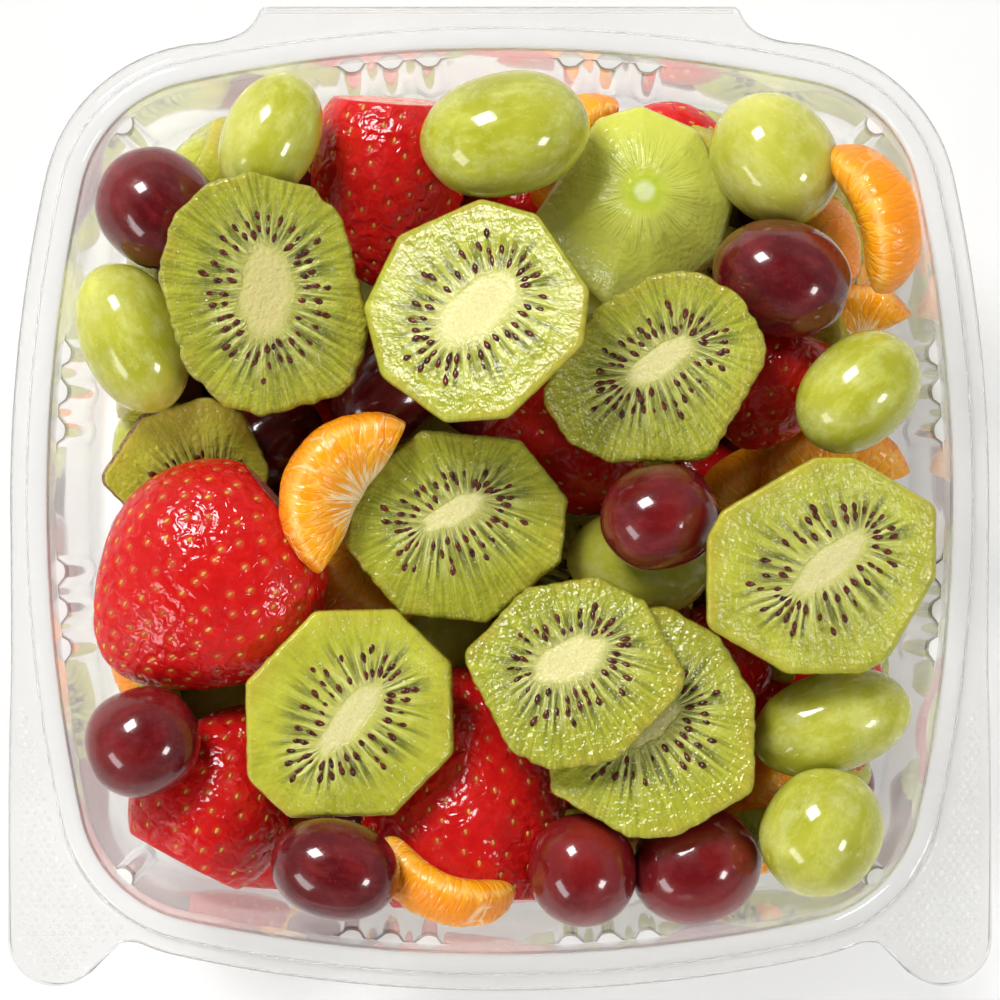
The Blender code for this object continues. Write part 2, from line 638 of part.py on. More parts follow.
def make_heap(parts, trees):
    bm = bmesh.new()
    floor = WALL + GAP
    step = 2 * math.pi / HEAP_TURNS
    rings = []
    for ring in range(1, HEAP_RINGS + 1):
        share = ring / HEAP_RINGS
        verts = []
        for i in range(HEAP_TURNS):
            reach = share * heap_radius(i * step)
            x, y = reach * math.cos(i * step), reach * math.sin(i * step) + TUB_Y
            cell = max(HEAP_HALF / HEAP_RINGS, reach * step) * 1.05
            verts.append(bm.verts.new((x, y, heap_top(trees, x, y, cell))))
        rings.append(verts)
    centre = bm.verts.new((0, TUB_Y, heap_top(trees, 0, TUB_Y, HEAP_HALF / HEAP_RINGS)))
    foot = [bm.verts.new((v.co.x, v.co.y, HEAP_FOOT)) for v in rings[-1]]
    base = [bm.verts.new((v.co.x * 0.9, (v.co.y - TUB_Y) * 0.9 + TUB_Y, floor)) for v in foot]
    rings += [foot, base]
    for inner, outer in zip(rings, rings[1:]):
        for i in range(HEAP_TURNS):
            bm.faces.new((inner[i - 1], inner[i], outer[i], outer[i - 1]))
    for i in range(HEAP_TURNS):
        bm.faces.new((rings[0][i - 1], rings[0][i], centre))
    bm.faces.new(base)
    return add_object("fruit_heap", bm, "heap", parts)


def main():
    clear_scene()
    parts = collection("fruit_salad")
    cutters = collection("cutters")
    tub = make_tub(parts, cutters)
    bpy.context.view_layer.update()
    tub_tree, _ = world_tree(tub)
    placed = [tub_tree]
    for names, way in ((LAID, 1), (TUCKED, -1)):
        for name in names:
            tree, _ = world_tree(make_piece(name, parts, placed, way))
            placed.append(tree)
    make_heap(parts, placed[1:])


main()
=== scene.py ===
"""Fruit salad in a clear square tub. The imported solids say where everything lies. Here the tub
becomes a fine clear shell, each piece of fruit gets its real surface, and the hidden heap
becomes the fruit that fills a tub."""

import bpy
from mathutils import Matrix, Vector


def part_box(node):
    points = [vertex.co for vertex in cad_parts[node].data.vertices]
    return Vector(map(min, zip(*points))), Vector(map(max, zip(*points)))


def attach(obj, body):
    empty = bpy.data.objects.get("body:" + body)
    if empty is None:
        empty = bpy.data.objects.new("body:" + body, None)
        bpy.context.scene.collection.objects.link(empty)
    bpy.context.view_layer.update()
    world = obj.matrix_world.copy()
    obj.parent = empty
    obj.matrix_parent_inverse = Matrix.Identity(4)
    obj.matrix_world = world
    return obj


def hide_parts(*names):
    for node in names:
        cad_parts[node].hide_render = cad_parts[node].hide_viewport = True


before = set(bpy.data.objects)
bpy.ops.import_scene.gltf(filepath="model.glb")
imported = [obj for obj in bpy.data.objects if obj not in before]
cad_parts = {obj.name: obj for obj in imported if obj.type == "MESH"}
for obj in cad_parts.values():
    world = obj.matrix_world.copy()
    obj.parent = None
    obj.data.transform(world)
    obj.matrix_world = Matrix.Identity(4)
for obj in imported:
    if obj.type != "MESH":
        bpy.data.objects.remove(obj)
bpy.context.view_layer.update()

import math

import bmesh
import bpy
import numpy as np
from mathutils import Matrix, Vector, noise
from mathutils.bvhtree import BVHTree

MM = 0.001
scene = bpy.context.scene

# --- Studio ------------------------------------------------------------------------------------
# A white table, lit a little from below, in a white tent: a wide key light from the back, a small
# one low on the right and a dim one in front, with the camera hung straight above the tub.

VIEW_WIDTH = 0.195
CAMERA_HEIGHT = 2.06
FOCUS_HEIGHT = 0.057  # the flange, at which the frame is VIEW_WIDTH wide
VIEW_MIDDLE = (0.00006, -0.0003)
SENSOR = 36.0

camera = bpy.data.objects.new("camera", bpy.data.cameras.new("camera"))
camera.location = (*VIEW_MIDDLE, CAMERA_HEIGHT)
camera.data.sensor_width = SENSOR
camera.data.lens = SENSOR * (CAMERA_HEIGHT - FOCUS_HEIGHT) / VIEW_WIDTH
camera.data.clip_end = 20.0
scene.collection.objects.link(camera)
scene.camera = camera
scene.view_settings.view_transform = "Standard"


def add_light(name, azimuth, tilt, distance, width, height, power):
    """A softbox aimed at the tub, tilt degrees from straight above, azimuth from +X."""
    data = bpy.data.lights.new(name, "AREA")
    data.shape = "RECTANGLE"
    data.size, data.size_y = width, height
    data.energy = power
    light = bpy.data.objects.new(name, data)
    a, t = math.radians(azimuth), math.radians(tilt)
    way = Vector((math.sin(t) * math.cos(a), math.sin(t) * math.sin(a), math.cos(t)))
    light.location = way * distance + Vector((0, 0, 0.05))
    light.rotation_euler = way.to_track_quat("Z", "Y").to_euler()
    scene.collection.objects.link(light)


add_light("key", 122, 42, 2.6, 0.78, 0.84, 56)
add_light("side", -28, 48, 2.6, 0.56, 0.46, 15)
add_light("front", -142, 60, 2.8, 1.4, 0.7, 20)


def put(tree, socket, value):
    """Gives a socket another node's output, a value or a colour."""
    if isinstance(value, bpy.types.NodeSocket):
        tree.links.new(value, socket)
    else:
        socket.default_value = (*value, 1) if socket.type == "RGBA" else value


def make(tree, kind, inputs=None, **settings):
    """A shader node with its settings, and what its sockets get."""
    made = tree.nodes.new(kind)
    for key, value in settings.items():
        setattr(made, key, value)
    for key, value in (inputs or {}).items():
        put(tree, made.inputs[key], value)
    return made


def feed(tree, shader, **sockets):
    for key, value in sockets.items():
        put(tree, shader.inputs[key.replace("_", " ")], value)


def new_material(name, **values):
    """A material, its nodes and its Principled shader; values are the same all over."""
    material = bpy.data.materials.new(name)
    material.use_nodes = True
    shader = material.node_tree.nodes["Principled BSDF"]
    feed(material.node_tree, shader, **values)
    return material, material.node_tree, shader


def mix_colour(tree, share, a, b):
    return make(tree, "ShaderNodeMix", {0: share, 6: a, 7: b}, data_type="RGBA").outputs[2]


def object_coords(tree):
    return make(tree, "ShaderNodeTexCoord").outputs["Object"]


def split_xyz(tree, vector):
    return make(tree, "ShaderNodeSeparateXYZ", {0: vector}).outputs


def ramp(tree, value, *stops, smooth=False):
    """A Color Ramp; stops are (place, grey or colour)."""
    made = make(tree, "ShaderNodeValToRGB", {"Fac": value})
    steps = made.color_ramp.elements
    while len(steps) < len(stops):
        steps.new(0.5)
    for step, (place, colour) in zip(steps, stops):
        step.position = place
        step.color = (colour,) * 3 + (1,) if isinstance(colour, float) else (*colour, 1)
    made.color_ramp.interpolation = "EASE" if smooth else "LINEAR"
    return made.outputs["Color"]


def noise_of(tree, vector, scale, detail=3.0, rough=0.55, **inputs):
    return make(tree, "ShaderNodeTexNoise", {"Vector": vector, "Scale": scale, "Detail": detail,
                                             "Roughness": rough, **inputs}).outputs["Fac"]


# The tent is bright round the sides and dim overhead, where the camera hangs. What shines mirrors
# a dimmer one, so that wet fruit keeps its colour.
world = bpy.data.worlds.new("tent")
scene.world = world
world.use_nodes = True
tree = world.node_tree
up = split_xyz(tree, make(tree, "ShaderNodeTexCoord").outputs["Generated"])["Z"]
mirrored = make(tree, "ShaderNodeLightPath").outputs["Is Glossy Ray"]
tree.links.new(mix_colour(
    tree, mirrored, ramp(tree, up, (0.66, (0.62, 0.617, 0.61)), (0.86, (0.14, 0.14, 0.14))),
    ramp(tree, up, (0.60, 0.30), (0.86, 0.05))), tree.nodes["Background"].inputs["Color"])

table_paint, tree, shader = new_material(
    "table", Roughness=0.6, Specular_IOR_Level=0.2, Emission_Color=(1, 0.995, 0.98),
    Emission_Strength=0.43)
speck = noise_of(tree, object_coords(tree), 9.0)
feed(tree, shader, Base_Color=mix_colour(tree, speck, (0.45, 0.45, 0.45), (0.47, 0.47, 0.47)))
table = bpy.data.objects.new("table", bpy.data.meshes.new("table"))
table.data.from_pydata([(-3, -3, 0), (3, -3, 0), (3, 3, 0), (-3, 3, 0)], [], [(0, 1, 2, 3)])
table.data.materials.append(table_paint)
scene.collection.objects.link(table)

# --- Tub ---------------------------------------------------------------------------------------
# The tub is one sheet of clear PET, thermoformed: bowed walls with stacking lugs pressed in, a
# raised band for the lid, and a flange with two stippled thumb tabs and the lid's torn hinge.

TUB_Y = -0.5
MOUTH_HALF = 88.3
SIDE_RADIUS = 286.0
CORNER_RADIUS = 26.0
FLANGE_WIDTH = 7.1
HALF_WIDTH = 95.9
HALF_LENGTH = 95.9
SHEET = 0.45
TAB_END, TAB_RADIUS, TAB_FILLET = 95.1, 9.4, 6.8
FLAP_HALF, FLARE_START = 46.6, 57.0
LUG_RADIUS, CORNER_LUG_RADIUS, LUG_DEEP = 2.45, 2.2, 1.75
LUG_TOP, LUG_FOOT, LUG_FADE = 51.0, 6.0, 6.0
FLANGE_HEIGHT, FLOOR_HEIGHT = 57.05, 1.35
LUG_AT = (-28.7, -21.2, -13.7, 13.7, 21.2, 28.7)
SIDE_POINTS, CORNER_POINTS = 132, 60
WALL_PROFILE = (  # (outside the mouth line, height)
    (-60.0, FLOOR_HEIGHT), (-24.0, 1.0), (-13.0, 0.5), (-11.0, 0.5), (-9.4, 0.8), (-8.1, 1.6),
    (-7.25, 2.85), (-6.85, 4.6), (-6.6, 6.0), (-6.5, 6.9), (-5.9, 12.0), (-5.2, 18.0), (-4.4, 25.0),
    (-3.6, 32.0), (-2.8, 39.0), (-2.0, 45.5), (-1.55, 49.6), (-1.42, 50.9), (-1.4, 51.05),
    (-1.3, 52.0), (-0.95, 54.5), (-0.65, 56.3), (-0.5, 57.2), (-0.35, 58.2), (0.0, 59.1),
    (0.55, 59.7), (1.3, 60.0), (2.3, 60.05), (3.2, 59.9), (3.85, 59.4), (4.15, 58.6), (4.3, 57.8),
    (4.6, 57.3), (5.1, 57.1),
)
TURN = math.acos((SIDE_RADIUS - MOUTH_HALF) / (math.sqrt(2) * (SIDE_RADIUS - CORNER_RADIUS)))
SIDE_ANGLE = TURN - math.pi / 4
CORNER_AT = (SIDE_RADIUS - CORNER_RADIUS) * math.sin(SIDE_ANGLE)
SIDE_AT = MOUTH_HALF - SIDE_RADIUS


def arc(centre, radius, start, end, steps):
    angles = np.linspace(start, end, steps + 1)
    return [(centre[0] + radius * math.cos(a), centre[1] + radius * math.sin(a)) for a in angles]


def turned(points, quarter):
    c, s = ((1, 0), (0, 1), (-1, 0), (0, -1))[quarter]
    return [(x * c - y * s, x * s + y * c) for x, y in points]


def press(apart, radius, z):
    """How far a lug of this radius is pressed in at this height, so far from its middle."""
    inside = 1 - (apart / radius) ** 2
    if not LUG_FOOT < z <= LUG_TOP or inside <= 0:
        return 0.0
    return LUG_DEEP * min(1.0, (z - LUG_FOOT) / LUG_FADE) * math.sqrt(inside)


def tub_ring(offset, z):
    """The wall's outline at one height, so far outside the mouth line."""
    quarter = []
    for x, y in arc((SIDE_AT, 0), SIDE_RADIUS + offset, -SIDE_ANGLE, SIDE_ANGLE, SIDE_POINTS)[:-1]:
        quarter.append((x - press(min(abs(y - at) for at in LUG_AT), LUG_RADIUS, z), y))
    middle = math.pi / 4
    reach = CORNER_RADIUS + offset
    bends = np.linspace(SIDE_ANGLE, math.pi / 2 - SIDE_ANGLE, CORNER_POINTS + 1)[:-1]
    for a in bends:
        r = max(reach, 0.5) - press((a - middle) * reach, CORNER_LUG_RADIUS, z)
        shift = min(0.0, reach - 0.5) / math.sqrt(2)
        quarter.append((CORNER_AT + shift + r * math.cos(a), CORNER_AT + shift + r * math.sin(a)))
    return [(x, y + TUB_Y, z) for q in range(4) for x, y in turned(quarter, q)]


def touching_circle(a, reach_a, b, reach_b):
    """The front one of the two points that lie this far from a and from b."""
    dx, dy = b[0] - a[0], b[1] - a[1]
    apart = math.hypot(dx, dy)
    along = (reach_a ** 2 - reach_b ** 2 + apart ** 2) / (2 * apart)
    across = math.sqrt(reach_a ** 2 - along ** 2)
    ends = [(a[0] + (along * dx + side * across * dy) / apart,
             a[1] + (along * dy - side * across * dx) / apart) for side in (1, -1)]
    return min(ends, key=lambda p: p[1])


def flange_edge():
    """The outer edge of the flange, from the middle of the front round to the back."""
    corner = (CORNER_AT, TUB_Y - CORNER_AT)
    reach = CORNER_RADIUS + FLANGE_WIDTH
    lobe = (HALF_WIDTH - TAB_RADIUS, TAB_RADIUS - TAB_END)
    hollow = touching_circle(corner, reach + TAB_FILLET, lobe, TAB_RADIUS + TAB_FILLET)
    to_hollow = math.atan2(hollow[1] - corner[1], hollow[0] - corner[0])
    from_lobe = math.atan2(lobe[1] - hollow[1], lobe[0] - hollow[0])
    side = SIDE_RADIUS + FLANGE_WIDTH
    right = arc((0, TUB_Y - SIDE_AT), side, -math.pi / 2, -math.pi / 2 + SIDE_ANGLE, 30)
    right += arc(corner, reach, -math.pi / 2 + SIDE_ANGLE, to_hollow, 8)[1:]
    right += arc(hollow, TAB_FILLET, to_hollow + math.pi, from_lobe, 12)[1:]
    right += arc(lobe, TAB_RADIUS, from_lobe - math.pi, 0, 40)[1:]
    right += [(HALF_WIDTH - 0.02, -72.0), (HALF_WIDTH - 0.05, -59.0), (HALF_WIDTH - 0.25, -46.0),
              (HALF_WIDTH - 0.6, -34.0), (HALF_WIDTH - 0.6, -20.0)]
    right += arc((SIDE_AT, TUB_Y), side, math.radians(-1.5), SIDE_ANGLE, 24)
    far = (CORNER_AT, TUB_Y + CORNER_AT)
    right += arc(far, reach, SIDE_ANGLE, math.acos((FLARE_START - CORNER_AT) / reach), 30)[1:]
    start = Vector(right[-1])
    bend = Vector((FLAP_HALF + 1.5, start.y + 1.0))
    end = Vector((FLAP_HALF, HALF_LENGTH))
    for t in np.linspace(0, 1, 13)[1:]:
        right.append(tuple(start * (1 - t) ** 2 + bend * 2 * t * (1 - t) + end * t ** 2))
    right += [(x, HALF_LENGTH) for x in (36.0, 24.0, 12.0, 0.0)]
    return right + [(-x, y) for x, y in reversed(right[1:-1])]


def bridge(a, b, count):
    """Quads between two rings of count points that start at points a and b."""
    return [(a + i, a + (i + 1) % count, b + (i + 1) % count, b + i) for i in range(count)]


def loops(count, rings, first=0):
    """Quads between rings of count points that follow each other."""
    starts = [first + r * count for r in range(rings)]
    return [quad for a, b in zip(starts, starts[1:]) for quad in bridge(a, b, count)]


def fan(first, count, tip, inwards=False):
    """Triangles from the ring of count points that starts at point first to its tip."""
    faces = [(first + k, first + (k + 1) % count, tip) for k in range(count)]
    return [(b, a, c) for a, b, c in faces] if inwards else faces


def add_piece(name, points, faces, materials, slot, nodes=(), kinds=None, origin=None,
              closed=True):
    """A mesh in millimetres as a smooth object that rides on the root and stands for nodes."""
    points = np.asarray(points, float) * MM
    middle = np.zeros(3) if origin is None else np.asarray(origin, float) * MM
    mesh = bpy.data.meshes.new(name)
    mesh.from_pydata((points - middle).tolist(), [], faces)
    for material in materials:
        mesh.materials.append(material)
    if kinds is not None:
        mesh.polygons.foreach_set("material_index", kinds)
    if closed:
        bm = bmesh.new()
        bm.from_mesh(mesh)
        bmesh.ops.recalc_face_normals(bm, faces=bm.faces)
        bm.to_mesh(mesh)
        bm.free()
    mesh.shade_smooth()
    made = bpy.data.objects.new(name, mesh)
    made.location = middle
    scene.collection.objects.link(made)
    bpy.context.view_layer.update()
    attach(made, "root")
    if nodes:
        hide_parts(*nodes)
    return made


def math_node(tree, operation, a, b=0.0, c=0.0, clamp=False):
    return make(tree, "ShaderNodeMath", {0: a, 1: b, 2: c}, operation=operation,
                use_clamp=clamp).outputs[0]


def times(tree, a, b):
    return math_node(tree, "MULTIPLY", a, b)


def times_plus(tree, a, b, c, clamp=False):
    return math_node(tree, "MULTIPLY_ADD", a, b, c, clamp)


def stretched(tree, vector, scale):
    return make(tree, "ShaderNodeMapping", {"Vector": vector, "Scale": scale}).outputs[0]


def bump(tree, shader, height, strength, distance):
    made = make(tree, "ShaderNodeBump", {"Height": height, "Strength": strength,
                                         "Distance": distance})
    tree.links.new(made.outputs[0], shader.inputs["Normal"])


# Clear sheet: it lets lamps through and is drawn a little uneven. Its band and flange are tinted
# greyer than the walls: painted shade.
clear_plastic, tree, shader = new_material(
    "clear_plastic", Roughness=0.05, IOR=1.3, Specular_IOR_Level=0.3, Transmission_Weight=0.86)
coords = object_coords(tree)
drawn = noise_of(tree, stretched(tree, coords, (1, 1, 0.12)), 110.0, 2.0)
waves = noise_of(tree, coords, 26.0, 1.0)
# Painted shade: above 54 mm, over the rim, the band and the flange, the sheet's colour turns a
# greyer white.
high = times(tree, split_xyz(tree, coords)["Z"], 1000 / 60)
feed(tree, shader, Base_Color=ramp(
    tree, high, (0.90, (0.93, 0.922, 0.91)), (0.94, (0.815, 0.81, 0.80))))
bump(tree, shader, times_plus(tree, drawn, 0.35, waves), 0.12, 0.0012)
clear = make(tree, "ShaderNodeBsdfTransparent", {"Color": (0.95, 0.947, 0.94)})
lamp_way = make(tree, "ShaderNodeLightPath").outputs["Is Shadow Ray"]
through = make(tree, "ShaderNodeMixShader", {0: lamp_way, 1: shader.outputs[0],
                                             2: clear.outputs[0]})
tree.links.new(through.outputs[0], tree.nodes["Material Output"].inputs["Surface"])

rings = [tub_ring(offset, z) for offset, z in WALL_PROFILE]
count = len(rings[0])
points = [p for ring in rings for p in ring]
faces = loops(count, len(rings))
faces += fan(0, count, len(points), inwards=True)
points.append((0.0, TUB_Y, FLOOR_HEIGHT))
edge = flange_edge()
outer_band = rings[-1]


def nearest_way(line, spots):
    """For each spot, the point of the closed line in its direction from the tub's middle."""
    a = np.asarray(line)
    nexts = np.roll(a, -1, axis=0)
    out = []
    for sx, sy in spots:
        way = np.array([sx, sy - TUB_Y])
        p = a - (0, TUB_Y)
        d = nexts - a
        cross = way[0] * d[:, 1] - way[1] * d[:, 0]
        cross = np.where(abs(cross) < 1e-12, 1e-12, cross)
        along = (p[:, 0] * d[:, 1] - p[:, 1] * d[:, 0]) / cross
        share = (p[:, 0] * way[1] - p[:, 1] * way[0]) / cross
        good = (share >= -1e-9) & (share <= 1 + 1e-9) & (along > 0)
        t = along[good].max()
        out.append((way[0] * t, way[1] * t + TUB_Y))
    return out


# The flange: rays from the band to its edge, with a small rolled lip all the way round.
edge_ring = nearest_way(edge, [(x, y) for x, y, _ in outer_band])
FLANGE_STEPS = (  # (share of the way out, height)
    (0.3, FLANGE_HEIGHT), (0.7, FLANGE_HEIGHT), (0.93, FLANGE_HEIGHT), (0.975, 57.2), (0.99, 57.15),
    (1.0, 56.8),
)
first = len(points) - 1 - count
start = len(points)
for share, z in FLANGE_STEPS:
    for (x, y, _), (ex, ey) in zip(outer_band, edge_ring):
        points.append((x + (ex - x) * share, y + (ey - y) * share, z))
faces += bridge(first, start, count) + loops(count, len(FLANGE_STEPS), start)
tub = add_piece("tub_shell", points, faces, [clear_plastic], "clear_plastic", ["tub"],
                closed=False)
sheet = tub.modifiers.new("sheet", "SOLIDIFY")
sheet.thickness = SHEET * MM
sheet.offset = 1.0

# The two thumb tabs are stippled for grip: rows of small domes pressed up between the tab's edge
# and the raised band.
DOT_PITCH, DOT_RADIUS, DOT_HEIGHT = 1.75, 0.55, 0.3
STIPPLE_TOP, STIPPLE_INNER, EDGE_MARGIN, BAND_MARGIN = -41.5, 60.0, 2.0, 1.0


def dome(x, y, z, radius, height, sides=8):
    """Points and faces of a low dome."""
    points = []
    for share, rise in ((1.0, 0.0), (0.8, 0.45), (0.45, 0.85)):
        for k in range(sides):
            a = 2 * math.pi * k / sides
            points.append((x + radius * share * math.cos(a), y + radius * share * math.sin(a),
                           z + height * rise))
    points.append((x, y, z + height))
    return points, loops(sides, 3) + fan(2 * sides, sides, 3 * sides)


def join(parts):
    """Several (points, faces) as one."""
    points, faces = [], []
    for more_points, more_faces in parts:
        base = len(points)
        points.extend(more_points)
        faces.extend(tuple(base + i for i in face) for face in more_faces)
    return points, faces


def distance_to(line, x, y):
    a = np.asarray(line)
    d = np.roll(a, -1, axis=0) - a
    p = np.array([x, y]) - a
    t = np.clip((p * d).sum(1) / (d * d).sum(1), 0, 1)
    return float(np.hypot(*(p - d * t[:, None]).T).min())


def inside_line(line, x, y):
    a = np.asarray(line)
    b = np.roll(a, -1, axis=0)
    cut = (a[:, 1] > y) != (b[:, 1] > y)
    at = a[cut, 0] + (y - a[cut, 1]) / (b[cut, 1] - a[cut, 1]) * (b[cut, 0] - a[cut, 0])
    return bool((at > x).sum() % 2)


band_line = [(x, y) for x, y, _ in outer_band]
dots = []
row = 0
y = STIPPLE_TOP
while y > -TAB_END:
    x = STIPPLE_INNER + (row % 2) * DOT_PITCH / 2
    while x < HALF_WIDTH:
        on_tab = inside_line(edge, x, y) and not inside_line(band_line, x, y)
        if on_tab and distance_to(edge, x, y) > EDGE_MARGIN \
                and distance_to(band_line, x, y) > BAND_MARGIN:
            dots += [dome(side * x, y, FLANGE_HEIGHT, DOT_RADIUS, DOT_HEIGHT) for side in (1, -1)]
        x += DOT_PITCH
    y -= DOT_PITCH * 0.75
    row += 1
add_piece("tub_stipple", *join(dots), [clear_plastic], "clear_plastic", closed=False)

# The lid's hinge is a crease pressed along the flap, a small bead on the flange.
HINGE_Y, HINGE_HALF, BEAD = 94.9, 45.6, 0.32
BEAD_STEPS, HINGE_POINTS = 7, 25
hinge = [(x, HINGE_Y + BEAD * math.cos(t), FLANGE_HEIGHT + BEAD * math.sin(t))
         for t in np.linspace(0, math.pi, BEAD_STEPS)
         for x in np.linspace(-HINGE_HALF, HINGE_HALF, HINGE_POINTS)]
starts = [r * HINGE_POINTS + i for r in range(BEAD_STEPS - 1) for i in range(HINGE_POINTS - 1)]
add_piece("tub_hinge", hinge, [(k, k + 1, k + 1 + HINGE_POINTS, k + HINGE_POINTS) for k in starts],
          [clear_plastic], "clear_plastic", closed=False)

# --- Kiwi --------------------------------------------------------------------------------------
# Kiwis peeled with flat strokes of a knife and cut across. A pale core, white rays between the
# seed chambers, small dark seeds in them, and wet green flesh with fine fibres to the rim.

CHAMBERS = 31
AROUND = 186
KIWI_RINGS = (7, 30, 7, 3)  # in the core, the flesh, the peeled side and underneath
CHUNK_PEEL = (118, 214)  # directions between which the chunk kept its skin, in degrees
KIWI = {  # of the core: place, direction, half length and half width; then wetness, darkness
    "kiwi_upper_left": ((0.4, 0.6), 88, 9.6, 5.4, 1.0, 0.6),
    "kiwi_upper_middle": ((0.4, 0.5), 42, 9.8, 5.0, 0.15, 0.28),
    "kiwi_upper_right": ((0.5, 2.0), 35, 7.8, 2.9, 1.0, 0.5),
    "kiwi_middle": ((-0.6, 2.6), 28, 7.2, 2.5, 0.8, 0.48),
    "kiwi_right": ((1.5, 0.8), 40, 9.8, 3.2, 0.3, 0.1),
    "kiwi_lower_left": ((0.2, -0.4), 50, 9.2, 3.1, 0.3, 0.0),
    "kiwi_lower_top": ((-1.0, 2.4), 25, 8.0, 4.2, 1.0, 0.52),
    "kiwi_lower_under": ((-0.8, 0.4), 35, 7.6, 3.2, 0.8, 0.4),
    "kiwi_chunk": ((3.1, -5.2), 10, 4.6, 2.2, 0.6, 0.0),
}


def cad_mesh(node):
    """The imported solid's points in millimetres and its faces."""
    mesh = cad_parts[node].data
    return [Vector(v.co) / MM for v in mesh.vertices], [tuple(f.vertices) for f in mesh.polygons]


def lie_of(node):
    """A slice's solid, its middle on top, the slopes of its top and its thickness."""
    points, faces = cad_mesh(node)
    solid = BVHTree.FromPolygons(points, faces)
    normal, middle, area = Vector(), Vector(), 0.0
    for face in faces:
        a, b, c = (points[i] for i in face[:3])
        cross = (b - a).cross(c - a)
        if cross.length > 0 and cross.z / cross.length > 0.9:
            normal += cross
            middle += (a + b + c) / 3 * cross.length
            area += cross.length
    middle /= area
    slopes = (-normal.x / normal.z, -normal.y / normal.z)
    top = solid.ray_cast(Vector((middle.x, middle.y, 300)), Vector((0, 0, -1)))[0].z
    foot = solid.ray_cast(Vector((middle.x, middle.y, -100)), Vector((0, 0, 1)))[0].z
    return solid, Vector((middle.x, middle.y, top)), slopes, top - foot


def softened(reach):
    """Rounds the corners of an outline a little."""
    return (np.roll(reach, 1) + 2 * reach + np.roll(reach, -1)) / 4


def rim_of(solid, middle, slopes, thickness):
    """Distance from the middle to the peeled side, all the way round."""
    start = middle - Vector((0, 0, thickness / 2))
    reach = []
    for a in np.linspace(0, 2 * math.pi, AROUND, endpoint=False):
        way = Vector((math.cos(a), math.sin(a), slopes[0] * math.cos(a) + slopes[1] * math.sin(a)))
        hit = solid.ray_cast(start, way.normalized())[0]
        reach.append(math.hypot(hit.x - start.x, hit.y - start.y))
    return softened(np.array(reach))


def lumps(x, y, z, scale, seed):
    return noise.noise(Vector((x / scale + seed, y / scale - seed, z / scale)))


def drop_shape(at, along, up, length, width, thick, rows=6, sides=7):
    """A flat drop with its point at the back: a seed."""
    side = up.cross(along).normalized()
    points = []
    for r in range(1, rows):
        t = r / rows
        full = math.sin(math.pi * t) ** 0.75 * (0.6 + 0.55 * t)
        for k in range(sides):
            a = 2 * math.pi * k / sides
            spread = side * math.cos(a) * width / 2 + up * math.sin(a) * thick / 2
            points.append(tuple(at + along * (t - 0.5) * length + spread * full))
    points += [tuple(at - along * length / 2), tuple(at + along * length / 2)]
    faces = loops(sides, rows - 1) + fan(0, sides, len(points) - 2, inwards=True)
    return points, faces + fan((rows - 2) * sides, sides, len(points) - 1)


def new_group(name, **inputs):
    """A node group that puts out a surface's colour, roughness and height."""
    group = bpy.data.node_groups.new(name, "ShaderNodeTree")
    for key, value in inputs.items():
        kind = "NodeSocketFloat" if isinstance(value, float) else "NodeSocketColor"
        socket = group.interface.new_socket(key.replace("_", " "), in_out="INPUT", socket_type=kind)
        socket.default_value = value
    for key, kind in (("Colour", "NodeSocketColor"), ("Roughness", "NodeSocketFloat"),
                      ("Height", "NodeSocketFloat")):
        group.interface.new_socket(key, in_out="OUTPUT", socket_type=kind)
    given = group.nodes.new("NodeGroupInput").outputs
    return group, given, group.nodes.new("NodeGroupOutput")


def attribute(tree, name):
    return make(tree, "ShaderNodeAttribute", attribute_name=name).outputs["Vector"]


